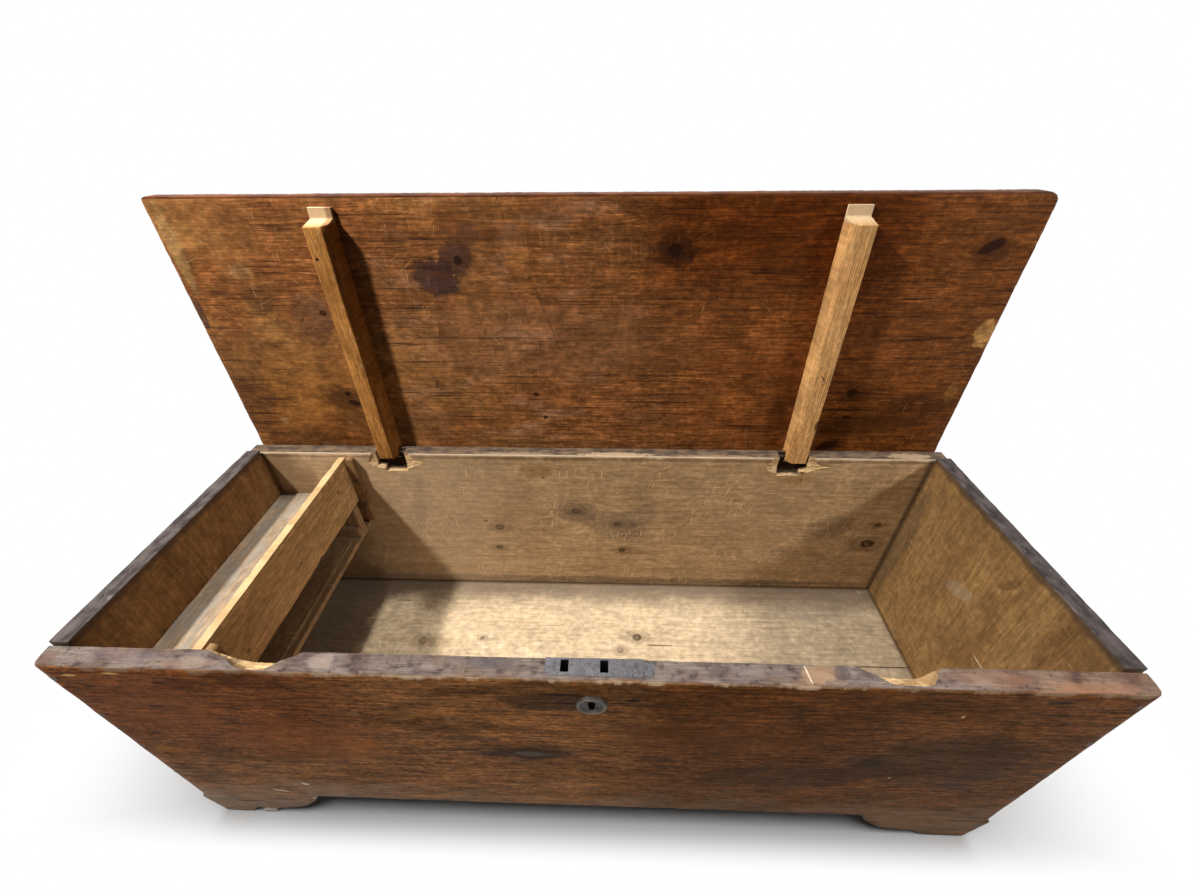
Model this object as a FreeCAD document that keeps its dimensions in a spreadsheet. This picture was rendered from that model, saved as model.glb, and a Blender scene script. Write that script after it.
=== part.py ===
"""A pine blanket chest: six boards, a till, a let-in lock and a lid on two pinned battens.

Millimetres. X runs along the chest, Y from its front to its back, Z up from the floor it stands
on. The lid stands open. The origin is the middle of the whole outline, lid included, on the floor.
"""
import FreeCAD, Part

import math
import os

import Sketcher

doc = FreeCAD.newDocument("BlanketChest")
sheet = doc.addObject("Spreadsheet::Sheet", "Sizes")


# ---------------------------------------------------------------- sizes

class Size:
    """A length with its value and the sheet expression that gives it."""

    def __init__(self, value, text):
        self.value = value
        self.text = text

    def __add__(self, other):
        other = as_size(other)
        return Size(self.value + other.value, "(%s + %s)" % (self.text, other.text))

    def __sub__(self, other):
        other = as_size(other)
        return Size(self.value - other.value, "(%s - %s)" % (self.text, other.text))

    def __mul__(self, other):
        other = as_size(other)
        return Size(self.value * other.value, "(%s * %s)" % (self.text, other.text))

    def __truediv__(self, other):
        other = as_size(other)
        return Size(self.value / other.value, "(%s / %s)" % (self.text, other.text))

    def __radd__(self, other):
        return as_size(other) + self

    def __rsub__(self, other):
        return as_size(other) - self

    def __rmul__(self, other):
        return as_size(other) * self

    def __neg__(self):
        return Size(-self.value, "(0 - %s)" % self.text)


def as_size(number):
    return number if isinstance(number, Size) else Size(float(number), repr(number))


row = 0


def size(alias, value, note):
    """Put one driving size on the sheet, under its alias."""
    global row
    row += 1
    sheet.set("A%d" % row, alias)
    sheet.set("B%d" % row, str(value))
    sheet.setAlias("B%d" % row, alias)
    sheet.set("C%d" % row, note)
    return Size(float(value), "Sizes." + alias)


def bind(thing, name, length):
    """Tie a property to the sheet."""
    thing.setExpression(name, as_size(length).text)


# The six boards
chest_length = size("chest_length", 1120, "front and back boards, and the lid, end to end")
chest_depth = size("chest_depth", 369, "front face to back face")
board_height = size("board_height", 422, "tops of the front and back boards above the floor")
board_thick = size("board_thick", 22.5, "front and back boards")
end_thick = size("end_thick", 23, "end boards")
end_rise = size("end_rise", 5, "end boards stand this much above the front and back")
arris = size("arris", 2.5, "rounding of the worn outer edges")
base_top = size("base_top", 97, "upper face of the bottom boards above the floor")
base_thick = size("base_thick", 22, "bottom boards")
base_front_width = size("base_front_width", 170.5, "front bottom board, front to back")
base_gap = size("base_gap", 0.6, "open joint between the two bottom boards")

# Feet sawn in the front and back boards: reach is measured from the end of the board
foot_reach = size("foot_reach", 178, "where the foot leaves the straight lower edge")
arch_height = size("arch_height", 72, "straight lower edge above the floor")
seam_reach = size("seam_reach", 173, "foot outline at the seam of the pieced foot")
seam_height = size("seam_height", 64, "seam of the pieced foot above the floor")
knee_reach = size("knee_reach", 160, "foot outline, knee")
knee_height = size("knee_height", 45, "foot outline, knee")
knee_round = size("knee_round", 30, "hollow above the knee")
ankle_reach = size("ankle_reach", 122, "foot outline, ankle")
ankle_height = size("ankle_height", 20, "foot outline, ankle")
ankle_round = size("ankle_round", 60, "hollow above the ankle")
toe_reach = size("toe_reach", 88, "foot outline, inner toe")
toe_height = size("toe_height", 17, "foot outline, inner toe")
sole_reach = size("sole_reach", 66, "inner end of the sole")
sole_inset = size("sole_inset", 12, "outer end of the sole, from the end of the board")
worn_height = size("worn_height", 55, "worn outer corner of the foot")

# Arch sawn in the end boards
end_foot_reach = size("end_foot_reach", 80, "foot of an end board, front to back")
end_arch_height = size("end_arch_height", 66, "crown of the arch above the floor")

# Lid, its battens and the pins that they turn on
lid_thick = size("lid_thick", 22.5, "lid board")
lid_front = size("lid_front", 384.4, "pin to the lid's front edge")
lid_back = size("lid_back", 17.5, "pin to the lid's back edge")
lid_corner_right = size("lid_corner_right", 14, "rounding of the right front corner")
lid_corner_left = size("lid_corner_left", 6, "rounding of the left front corner")
lid_angle = size("lid_angle", 91.17, "degrees that the lid stands open")
lid_gap = size("lid_gap", 0.3, "closed lid to the tops of the end boards")
pin_inset = size("pin_inset", 4.5, "pin to the back face of the back board")
pin_drop = size("pin_drop", 8.8, "pin below the top of the back board")
pin_radius = size("pin_radius", 2.5, "hinge pin")
pin_length = size("pin_length", 68, "hinge pin")
pin_play = size("pin_play", 0.05, "running clearance round the pin in the batten")
pin_seat_play = size("pin_seat_play", 0.02, "clearance round the pin in the back board")
batten_width = size("batten_width", 30.5, "batten, along the chest")
batten_thick = size("batten_thick", 27, "batten, off the lid")
batten_chamfer = size("batten_chamfer", 8, "planed inner arris of the batten")
batten_front = size("batten_front", 352.8, "pin to the front end of the batten's face")
batten_slope = size("batten_slope", 6, "slope of the batten's front end")
batten_back = size("batten_back", 7, "pin to the back end of the batten's face")
tongue_thick = size("tongue_thick", 5, "tongue left at both ends of the batten")
tongue_front = size("tongue_front", 371.8, "pin to the end of the front tongue")
tongue_back = size("tongue_back", 16.2, "pin to the end of the back tongue")
left_batten_reach = size("left_batten_reach", 227, "chest's left end to the batten's middle")
right_batten_reach = size("right_batten_reach", 231, "chest's right end to the batten's middle")

# Notches chopped through the back board for the battens
notch_floor = size("notch_floor", 36, "notch below the top of the board")
notch_ledge = size("notch_ledge", 28, "ledge at the side of the notch, below the top")
ledge_slope = size("ledge_slope", 3, "ledge's outer end above its inner end")
notch_play = size("notch_play", 2.7, "side clearance of the batten in its notch")
notch_wide = size("notch_wide", 14.5, "notch beyond the batten on its inner side")
ledge_width = size("ledge_width", 11, "ledge")
notch_skin = size("notch_skin", 5, "wood left behind the notch, below and beside the batten")
notch_clear = size("notch_clear", 25, "way through behind the batten, below the top")
way_play = size("way_play", 0.8, "side clearance of the batten in the way through")

# Hollows scooped in the front board for the batten ends
scoop_floor = size("scoop_floor", 25, "floor of the scoop below the top of the board")
scoop_wall = size("scoop_wall", 4.6, "wood left in front of the scoop")
scoop_floor_half = size("scoop_floor_half", 17, "half width of the scoop's floor")
scoop_shoulder = size("scoop_shoulder", 19, "scoop's shoulder below the top of the board")
scoop_flare = size("scoop_flare", 31, "half width at the shoulder, outer side")
scoop_flare_in = size("scoop_flare_in", 19, "half width at the shoulder, inner side")
scoop_lip = size("scoop_lip", 49, "half width at the top, outer side")
scoop_lip_in = size("scoop_lip_in", 43, "half width at the top, inner side")
scoop_lip_depth = size("scoop_lip_depth", 1.5, "scoop at its ends, from the board's inner face")
scoop_shoulder_depth = size("scoop_shoulder_depth", 5.5, "scoop at its outer shoulder, likewise")
scoop_heel = size("scoop_heel", 3, "scoop's inner shoulder behind its front wall")

# Till: a tray at the left end with an open pocket under it
till_reach = size("till_reach", 160, "chest's left end to the right face of the till side")
till_side_thick = size("till_side_thick", 12, "till side")
till_side_drop = size("till_side_drop", 7, "till side below the tops of the boards")
tray_drop = size("tray_drop", 88, "tray's floor below the tops of the boards")
tray_thick = size("tray_thick", 10, "tray bottom")
pocket_drop = size("pocket_drop", 154, "pocket's floor below the tops of the boards")
pocket_floor_thick = size("pocket_floor_thick", 10, "pocket bottom")
pocket_wall_thick = size("pocket_wall_thick", 14, "front and back walls of the pocket")
pocket_wall_inset = size("pocket_wall_inset", 16.5, "pocket wall from the board behind it")
runner_width = size("runner_width", 10, "runner inside the pocket")
runner_height = size("runner_height", 18, "runner inside the pocket")
cleat_width = size("cleat_width", 14, "upright cleat, along the chest")
cleat_thick = size("cleat_thick", 10, "upright cleat, off the board")
cleat_gap = size("cleat_gap", 1, "till side to the cleat")
cleat_foot_drop = size("cleat_foot_drop", 144, "cleat's lower end below the tops of the boards")
cleat_top_drop = size("cleat_top_drop", 5, "cleat's upper end below the tops of the boards")

# Lock
lock_x = size("lock_x", 16.25, "middle of the lock")
plate_length = size("plate_length", 98.5, "lock plate")
plate_width = size("plate_width", 17.8, "edge of the lock plate on top of the board")
plate_drop = size("plate_drop", 70, "lock plate down the inner face")
plate_thick = size("plate_thick", 1.6, "lock plate")
plate_corner = size("plate_corner", 7, "clipped front corner of the plate")
slot_length = size("slot_length", 8.3, "slot for a staple, along the chest")
slot_width = size("slot_width", 12.2, "slot for a staple, front to back")
slot_margin = size("slot_margin", 0.4, "slot to the plate's apron")
left_slot_x = size("left_slot_x", -29.6, "left slot's middle from the lock's middle")
right_slot_x = size("right_slot_x", 10.5, "right slot's middle from the lock's middle")
case_length = size("case_length", 84, "lock case")
case_drop = size("case_drop", 66, "lock case below the top of the board")
case_depth = size("case_depth", 13.2, "lock case, front to back")
case_wall = size("case_wall", 1.2, "lock case")
bolt_thick = size("bolt_thick", 4, "bolt")
bolt_bar_height = size("bolt_bar_height", 12, "bar of the bolt")
bolt_bar_drop = size("bolt_bar_drop", 36, "underside of the bar below the top of the board")
bolt_throw = size("bolt_throw", 8, "travel of the bolt")
bolt_play = size("bolt_play", 0.3, "running gap beside the bolt")
bolt_end = size("bolt_end", 2.5, "thrown bolt to the case's left wall")
bolt_length = size("bolt_length", 60, "bar of the bolt")
horn_width = size("horn_width", 4, "horn of the bolt")
horn_height = size("horn_height", 18, "horn above the bar")
nose_length = size("nose_length", 4, "nose on the horn")
nose_height = size("nose_height", 5, "nose on the horn")
nose_gap = size("nose_gap", 1.5, "slot to the nose while the bolt is drawn back")
talon_width = size("talon_width", 12, "notch that the key drives")
talon_depth = size("talon_depth", 4, "notch that the key drives")
guide_radius = size("guide_radius", 1.5, "guide pin of the bolt")
guide_play = size("guide_play", 0.1, "guide pin in the bolt's slot")
guide_spread = size("guide_spread", 17, "guide pins, each side of the bar's middle")
guide_rise = size("guide_rise", 1, "guide pins above the bar's middle")
drill_pin_radius = size("drill_pin_radius", 1.5, "pin that the key's barrel fits over")
drill_pin_tip = size("drill_pin_tip", 5.6, "tip of that pin from the board's front face")
screw_radius = size("screw_radius", 1.5, "lock screw")
screw_head_radius = size("screw_head_radius", 2.9, "lock screw")
screw_length = size("screw_length", 14, "lock screw")
screw_inset = size("screw_inset", 3.6, "lock screw from the plate's end")
screw_drop = size("screw_drop", 12, "upper lock screws below the top of the board")
screw_pitch = size("screw_pitch", 46, "upper to lower lock screws")
tab_length = size("tab_length", 11.3, "iron tab beside the lock, along the chest")
tab_width = size("tab_width", 15, "iron tab beside the lock, front to back")
tab_gap = size("tab_gap", 0.4, "lock plate to the tab")

# Keyhole and escutcheon
key_x = size("key_x", 14, "keyhole")
key_below = size("key_below", 44, "keyhole's round part below the top of the board")
key_radius = size("key_radius", 4.3, "keyhole's round part")
key_slot = size("key_slot", 4.6, "keyhole's slot")
key_drop = size("key_drop", 13, "keyhole's slot below the middle of its round part")
key_well = size("key_well", 0.5, "hole in the board beyond the keyhole")
boss_radius = size("boss_radius", 16.7, "escutcheon")
boss_below = size("boss_below", 47, "middle of the escutcheon below the top of the board")
boss_height = size("boss_height", 4, "rim of the escutcheon")
boss_rim = size("boss_rim", 14.6, "radius of the raised rim")
boss_dish = size("boss_dish", 10.5, "radius of the flat middle")
boss_floor = size("boss_floor", 1.5, "thickness of the flat middle")
boss_edge = size("boss_edge", 0.8, "thickness at the outer edge")
bead_half = size("bead_half", 0.8, "half width of the bead on the raised rim")
bead_drop = size("bead_drop", 0.4, "shoulders of that bead below its crown")
boss_pin_radius = size("boss_pin_radius", 1, "escutcheon pin")
boss_pin_head = size("boss_pin_head", 1.6, "head of an escutcheon pin, radius")
boss_pin_head_thick = size("boss_pin_head_thick", 0.75, "head of an escutcheon pin")
boss_pin_reach = size("boss_pin_reach", 8.2, "escutcheon pins from the middle")
boss_pin_length = size("boss_pin_length", 9, "escutcheon pin")
boss_pin_angle = size("boss_pin_angle", 48, "degrees, escutcheon pins below and above level")

# Cut nails
nail_shank = size("nail_shank", 3, "nail")
nail_head = size("nail_head", 6.5, "nail")
nail_head_thick = size("nail_head_thick", 1.5, "nail")
nail_length = size("nail_length", 55, "nail")
batten_nail_length = size("batten_nail_length", 42, "nail through the lid into a batten")
small_nail_length = size("small_nail_length", 22, "nail through a cleat")
wall_nail_height = size("wall_nail_height", 150, "lowest nail at a corner, above the floor")
wall_nail_drop = size("wall_nail_drop", 24, "highest nail at a corner, below the top")
base_nail_inset = size("base_nail_inset", 45, "nails into the bottom boards' ends, from their edges")
base_nail_end = size("base_nail_end", 330, "outer nails into the bottom boards' long edges")
batten_nail_front = size("batten_nail_front", 330, "pin to the first nail in a batten")
batten_nail_back = size("batten_nail_back", 40, "pin to the last nail in a batten")
cleat_nail_drop = size("cleat_nail_drop", 51, "upper nail in a cleat, below the tops of the boards")
cleat_nail_low_drop = size("cleat_nail_low_drop", 104, "lower nail in a cleat, likewise")
foot_nail_height = size("foot_nail_height", 28, "lower nail in the pieced foot, above the floor")
foot_nail_pitch = size("foot_nail_pitch", 22, "lower to upper nail in the pieced foot")

half_length = chest_length / 2
left_batten_x = left_batten_reach - half_length
right_batten_x = half_length - right_batten_reach
till_x = till_reach - half_length
inner_end = half_length - end_thick
inner_back = chest_depth - board_thick
end_top = board_height + end_rise
till_top = board_height - till_side_drop
tray_top = board_height - tray_drop
pocket_floor_top = board_height - pocket_drop
cleat_foot = board_height - cleat_foot_drop
cleat_top = board_height - cleat_top_drop
cleat_nail_high = board_height - cleat_nail_drop
cleat_nail_low = board_height - cleat_nail_low_drop
key_z = board_height - key_below
boss_z = board_height - boss_below
pin_y = chest_depth - pin_inset
pin_z = board_height - pin_drop
lid_face = end_rise + pin_drop + lid_gap

# The outline reaches from the escutcheon's rim to the lid's outer face, high on the open lid.
lean = math.radians(lid_angle.value)
lid_reach = (
    (lid_face.value + lid_thick.value - arris.value) * math.sin(lean)
    - (lid_front.value - arris.value) * math.cos(lean)
    + arris.value
)
outline_back = pin_y.value + lid_reach
front_y = size(
    "front_y",
    round((boss_height.value - outline_back) / 2, 4),
    "front face of the chest from the origin",
)


# ---------------------------------------------------------------- drawing helpers

def plane_of(body, role):
    for feature in body.Origin.OriginFeatures:
        if feature.Role == role:
            return feature


def new_sketch(body, name, role, offset):
    sketch = body.newObject("Sketcher::SketchObject", name)
    sketch.AttachmentSupport = [(plane_of(body, role), "")]
    sketch.MapMode = "FlatFace"
    bind(sketch, "AttachmentOffset.Base.z", offset)
    return sketch


def arc_between(start, end, radius):
    """The short arc from start to end; a negative radius runs clockwise."""
    chord = end - start
    left = FreeCAD.Vector(-chord.y, chord.x, 0).normalize()
    turn = 1 if radius > 0 else -1
    rise = math.sqrt(max(radius ** 2 - chord.Length ** 2 / 4, 0))
    centre = (start + end) / 2 + left * (turn * rise)
    first, last = (start, end) if turn > 0 else (end, start)
    from_angle = math.atan2(first.y - centre.y, first.x - centre.x)
    to_angle = math.atan2(last.y - centre.y, last.x - centre.x)
    circle = Part.Circle(centre, FreeCAD.Vector(0, 0, 1), abs(radius))
    return Part.ArcOfCircle(circle, from_angle, to_angle)


def draw(sketch, outline):
    """A closed outline of corners, each placed by its two distances from the sketch's origin.

    A corner is (x, y), or (x, y, radius, turn) where an arc runs from it to the next corner,
    turning left for turn 1 and right for turn -1. A half circle has None for its radius.
    """
    first = sketch.GeometryCount
    corners = [FreeCAD.Vector(as_size(c[0]).value, as_size(c[1]).value, 0) for c in outline]
    ends = []
    for index, corner in enumerate(outline):
        start = corners[index]
        end = corners[(index + 1) % len(corners)]
        if len(corner) == 2:
            sketch.addGeometry(Part.LineSegment(start, end), False)
            ends.append((1, 2))
        else:
            half = (end - start).Length / 2
            radius = half if corner[2] is None else as_size(corner[2]).value
            sketch.addGeometry(arc_between(start, end, radius * corner[3]), False)
            ends.append((1, 2) if corner[3] > 0 else (2, 1))
    for index, corner in enumerate(outline):
        edge = first + index
        before = (index - 1) % len(outline)
        sketch.addConstraint(
            Sketcher.Constraint("Coincident", first + before, ends[before][1], edge, ends[index][0])
        )
        for kind, distance in (("DistanceX", corner[0]), ("DistanceY", corner[1])):
            distance = as_size(distance)
            place = sketch.addConstraint(
                Sketcher.Constraint(kind, edge, ends[index][0], distance.value)
            )
            sketch.setExpression("Constraints[%d]" % place, distance.text)
        if len(corner) > 2:
            following = corners[(index + 1) % len(corners)]
            level = abs(following.y - corners[index].y) < abs(following.x - corners[index].x)
            if corner[2] is not None:
                bound = as_size(corner[2])
                rule = Sketcher.Constraint("Radius", edge, bound.value)
            elif level:
                bound = as_size(corner[1])
                rule = Sketcher.Constraint("DistanceY", edge, 3, bound.value)
            else:
                bound = as_size(corner[0])
                rule = Sketcher.Constraint("DistanceX", edge, 3, bound.value)
            place = sketch.addConstraint(rule)
            sketch.setExpression("Constraints[%d]" % place, bound.text)


def draw_circle(sketch, x, y, radius):
    x, y, radius = as_size(x), as_size(y), as_size(radius)
    centre = FreeCAD.Vector(x.value, y.value, 0)
    edge = sketch.addGeometry(Part.Circle(centre, FreeCAD.Vector(0, 0, 1), radius.value), False)
    for kind, distance in (("DistanceX", x), ("DistanceY", y)):
        place = sketch.addConstraint(Sketcher.Constraint(kind, edge, 3, distance.value))
        sketch.setExpression("Constraints[%d]" % place, distance.text)
    place = sketch.addConstraint(Sketcher.Constraint("Radius", edge, radius.value))
    sketch.setExpression("Constraints[%d]" % place, radius.text)


def padded(body, role, outline, start, depth, circles=()):
    """Pad an outline from start to start + depth along the axis that the plane faces."""
    backward = role == "XZ_Plane"
    sketch = new_sketch(body, body.Name + "_outline", role, -start if backward else start)
    draw(sketch, outline)
    for circle in circles:
        draw_circle(sketch, *circle)
    pad = body.newObject("PartDesign::Pad", body.Name + "_pad")
    pad.Profile = sketch
    bind(pad, "Length", depth)
    pad.Reversed = backward
    sketch.Visibility = False
    return pad


def on_chest(thing):
    """Place a piece that is drawn from the chest's front face."""
    bind(thing, "Placement.Base.y", front_y)
    return thing


def on_lid(thing):
    """Place a piece that is drawn about the hinge pin, with the lid shut, at the open angle."""
    bind(thing, "Placement.Base.y", pin_y + front_y)
    bind(thing, "Placement.Base.z", pin_z)
    thing.Placement.Rotation = FreeCAD.Rotation(FreeCAD.Vector(1, 0, 0), -lid_angle.value)
    bind(thing, "Placement.Rotation.Angle", -lid_angle)
    return thing


def board(label, role, outline, start, depth, circles=()):
    """A piece sawn to an outline, in the chest's own frame."""
    body = doc.addObject("PartDesign::Body", label)
    padded(body, role, outline, start, depth, circles)
    return body


def rectangle(x0, x1, y0, y1):
    return [(x0, y0), (x1, y0), (x1, y1), (x0, y1)]


def block(label, x0, x1, y0, y1, z0, z1):
    """A plain block between two corners, in the chest's own frame."""
    box = doc.addObject("Part::Box", label)
    bind(box, "Length", x1 - x0)
    bind(box, "Width", y1 - y0)
    bind(box, "Height", z1 - z0)
    bind(box, "Placement.Base.x", x0)
    bind(box, "Placement.Base.y", y0 + front_y)
    bind(box, "Placement.Base.z", z0)
    return box


def rod(label, direction, radius, length, x, y, z):
    """A round rod from a point along an axis, in the chest's own frame."""
    cylinder = doc.addObject("Part::Cylinder", label)
    bind(cylinder, "Radius", radius)
    bind(cylinder, "Height", length)
    cylinder.Placement.Rotation = FreeCAD.Rotation(FreeCAD.Vector(0, 0, 1), direction)
    bind(cylinder, "Placement.Base.x", x)
    bind(cylinder, "Placement.Base.y", y + front_y)
    bind(cylinder, "Placement.Base.z", z)
    return cylinder


def joined(label, *pieces):
    fusion = doc.addObject("Part::MultiFuse", label)
    fusion.Shapes = list(pieces)
    return fusion


def grouped(label, pieces):
    group = doc.addObject("Part::Compound", label)
    group.Links = list(pieces)
    return group


def without(label, base, *tools):
    """The base with every tool cut out of it, one after the other."""
    for number, tool in enumerate(tools, 1):
        last = number == len(tools)
        cut = doc.addObject("Part::Cut", label if last else "%s_cut_%d" % (label, number))
        cut.Base = base
        cut.Tool = tool
        base = cut
    return base


def shared(label, first, second):
    common = doc.addObject("Part::Common", label)
    common.Base = first
    common.Tool = second
    return common


def rounded(body, feature, radius, wanted):
    """Round the straight edges of a feature that wanted(start, end) picks out."""
    doc.recompute()
    names = []
    for number, edge in enumerate(feature.Shape.Edges, 1):
        if edge.Curve.TypeId == "Part::GeomLine":
            start, end = (vertex.Point for vertex in edge.Vertexes)
            if wanted(start, end):
                names.append("Edge%d" % number)
    fillet = body.newObject("PartDesign::Fillet", body.Name + "_round")
    fillet.Base = (feature, names)
    bind(fillet, "Radius", radius)
    return fillet


def near(value, length):
    return abs(value - as_size(length).value) < 0.01


RIGHT = FreeCAD.Vector(1, 0, 0)
LEFT = FreeCAD.Vector(-1, 0, 0)
BACK = FreeCAD.Vector(0, 1, 0)
FRONT = FreeCAD.Vector(0, -1, 0)
UP = FreeCAD.Vector(0, 0, 1)


def nail(label, direction, length, x, y, z):
    """A cut nail with its head flush at a point of the chest's frame, driven along an axis."""
    pieces = []
    for part, wide, far in (("head", nail_head, nail_head_thick), ("shank", nail_shank, length)):
        low = [-wide / 2, -wide / 2, -wide / 2]
        high = [wide / 2, wide / 2, wide / 2]
        for axis, along in enumerate((direction.x, direction.y, direction.z)):
            if along > 0:
                low[axis], high[axis] = as_size(0), far
            elif along < 0:
                low[axis], high[axis] = -far, as_size(0)
        pieces.append(block(
            label + "_" + part,
            x + low[0], x + high[0], y + low[1], y + high[1], z + low[2], z + high[2],
        ))
    return joined(label, *pieces)


def evenly(low, high, count):
    """Places from low to high, count of them, evenly apart."""
    return [low + (high - low) * (step / (count - 1)) for step in range(count)]


# ---------------------------------------------------------------- nails through the boards

corner_x = half_length - end_thick / 2
corner_heights = evenly(wall_nail_height, board_height - wall_nail_drop, 4)
base_mid = base_top - base_thick / 2
base_split = board_thick + base_front_width


def corner_nails(label, direction, y):
    """Nails through a long board into the edges of both end boards."""
    return grouped(label, [
        nail("%s_%d_%d" % (label, side > 0, step), direction, nail_length, corner_x * side, y, z)
        for side in (-1, 1)
        for step, z in enumerate(corner_heights)
    ])


def long_base_nails(label, direction, y):
    """Nails through a long board into the long edge of a bottom board."""
    return [
        nail("%s_%d" % (label, step), direction, nail_length, x, y, base_mid)
        for step, x in enumerate(evenly(-base_nail_end, base_nail_end, 4))
    ]


front_nails = corner_nails("front_nails", BACK, as_size(0))
back_nails = corner_nails("back_nails", FRONT, chest_depth)

base_end_places = [
    board_thick + base_nail_inset,
    base_split - base_nail_inset,
    base_split + base_gap + base_nail_inset,
    inner_back - base_nail_inset,
]
base_nails = grouped(
    "bottom_board_nails",
    [
        nail("base_nail_left_%d" % step, RIGHT, nail_length, -half_length, y, base_mid)
        for step, y in enumerate(base_end_places)
    ] + [
        nail("base_nail_right_%d" % step, LEFT, nail_length, half_length, y, base_mid)
        for step, y in enumerate(base_end_places)
    ] + long_base_nails("base_nail_front", BACK, as_size(0))
    + long_base_nails("base_nail_back", FRONT, chest_depth),
)
foot_nails = grouped("pieced_foot_nails", [
    nail("foot_nail_%d" % step, BACK, nail_length, corner_x, as_size(0), z)
    for step, z in enumerate((foot_nail_height, foot_nail_height + foot_nail_pitch))
])


# ---------------------------------------------------------------- front and back boards

def foot_outline(side):
    """Outline of one foot from its knee to the worn outer corner, on the side given."""
    def at(reach, height, *arc):
        return ((half_length - reach) * side, height) + arc
    return [
        at(seam_reach, seam_height, knee_round, side),
        at(knee_reach, knee_height, ankle_round, side),
        at(ankle_reach, ankle_height),
        at(toe_reach, toe_height),
        at(sole_reach, as_size(0)),
        at(sole_inset, as_size(0)),
        at(as_size(0), worn_height),
    ]


def mirrored(outline):
    """The same corners walked the other way, as the opposite foot needs them."""
    turned = []
    for index in range(len(outline) - 1, -1, -1):
        corner = outline[index][:2]
        if index > 0 and len(outline[index - 1]) > 2:
            corner = corner + (outline[index - 1][2], -outline[index - 1][3])
        turned.append(corner)
    return turned


right_top = (half_length, board_height)
left_top = (-half_length, board_height)
left_foot = mirrored(foot_outline(-1))
arch_left = (-(half_length - foot_reach), arch_height)
arch_right = (half_length - foot_reach, arch_height)

front_outline = [left_top] + left_foot + [
    arch_left,
    arch_right,
    (half_length - seam_reach, seam_height),
    (half_length, seam_height),
    right_top,
]
front_blank = doc.addObject("PartDesign::Body", "front_board_blank")
front_pad = padded(front_blank, "XZ_Plane", front_outline, as_size(0), board_thick)
rounded(
    front_blank, front_pad, arris,
    lambda start, end: near(start.z, board_height) and near(end.z, board_height)
    and near(start.y, 0) and near(end.y, 0),
)
on_chest(front_blank)


def scoop(label, middle, outer):
    """A hollow scooped in the top of the front board; outer is the side of its longer flare."""
    top = board_height
    proud = top + arris

    def at(reach, drop):
        return (middle + reach * outer, top - drop)
    across = on_chest(board(label + "_across", "XZ_Plane", [
        at(scoop_lip, -arris),
        at(scoop_lip, 0),
        at(scoop_flare, scoop_shoulder),
        at(scoop_floor_half, scoop_floor),
        at(-scoop_floor_half, scoop_floor),
        at(-scoop_flare_in, scoop_shoulder),
        at(-scoop_lip_in, 0),
        at(-scoop_lip_in, -arris),
    ], as_size(0), board_thick + arris))
    beyond = board_thick + arris
    down = on_chest(board(label + "_down", "XY_Plane", [
        (middle + scoop_lip * outer, beyond),
        (middle + scoop_lip * outer, inner_lip),
        (middle + scoop_flare * outer, board_thick - scoop_shoulder_depth),
        (middle + scoop_floor_half * outer, scoop_wall),
        (middle - scoop_floor_half * outer, scoop_wall),
        (middle - scoop_flare_in * outer, scoop_wall + scoop_heel),
        (middle - scoop_lip_in * outer, inner_lip),
        (middle - scoop_lip_in * outer, beyond),
    ], top - scoop_floor - arris, proud - (top - scoop_floor - arris)))
    return shared(label, across, down)


inner_lip = board_thick - scoop_lip_depth
left_scoop = scoop("left_scoop", left_batten_x, -1)
right_scoop = scoop("right_scoop", right_batten_x, -1)

# Recesses for the lock: its edge on top, its plate inside, its case and the keyhole
lock_left = lock_x - plate_length / 2
lock_right = lock_x + plate_length / 2
plate_front = board_thick - plate_width
plate_back = board_thick - plate_thick
case_left = lock_x - case_length / 2
case_right = lock_x + case_length / 2
case_front = plate_back - case_depth
case_foot = board_height - case_drop
over = arris
lock_recess = joined(
    "lock_recess",
    on_chest(board("lock_edge_recess", "XY_Plane", [
        (lock_left + plate_corner, plate_front),
        (lock_right, plate_front),
        (lock_right, board_thick + over),
        (lock_left, board_thick + over),
        (lock_left, plate_front + plate_corner / 2),
    ], board_height - plate_thick, plate_thick + over)),
    block("lock_plate_recess", lock_left, lock_right, plate_back, board_thick + over,
          board_height - plate_drop, board_height + over),
    block("lock_case_recess", case_left, case_right, case_front, board_thick,
          case_foot, board_height),
)
tab_left = lock_right + tab_gap
tab_right = tab_left + tab_length
tab_outline = [
    (tab_left, plate_front + tab_length / 2, None, 1),
    (tab_right, plate_front + tab_length / 2),
    (tab_right, plate_front + tab_width),
    (tab_left, plate_front + tab_width),
]
tab_recess = on_chest(board(
    "tab_recess", "XY_Plane", tab_outline, board_height - plate_thick, plate_thick + over
))
key_recess = on_chest(board("key_recess", "XZ_Plane", [
    (key_x - key_radius - key_well, key_z, None, -1),
    (key_x + key_radius + key_well, key_z),
    (key_x + key_slot / 2 + key_well, key_z - key_drop - key_well),
    (key_x - key_slot / 2 - key_well, key_z - key_drop - key_well),
], -over, case_front + over + over))


def screw_places():
    for x in (lock_left + screw_inset, lock_right - screw_inset):
        for z in (board_height - screw_drop, board_height - screw_drop - screw_pitch):
            yield x, z


def lock_screw(label, x, z):
    """A countersunk screw from the plate's inner face, pointing to the front of the chest."""
    shank = rod(label + "_shank", FRONT, screw_radius, screw_length, x, board_thick, z)
    head = doc.addObject("Part::Cone", label + "_head")
    bind(head, "Radius1", screw_head_radius)
    bind(head, "Radius2", screw_radius)
    bind(head, "Height", plate_thick)
    head.Placement.Rotation = FreeCAD.Rotation(UP, FRONT)
    bind(head, "Placement.Base.x", x)
    bind(head, "Placement.Base.y", board_thick + front_y)
    bind(head, "Placement.Base.z", z)
    return joined(label, shank, head)


lock_screws = grouped("lock_screws", [
    lock_screw("lock_screw_%d" % number, x, z) for number, (x, z) in enumerate(screw_places())
])


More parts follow.
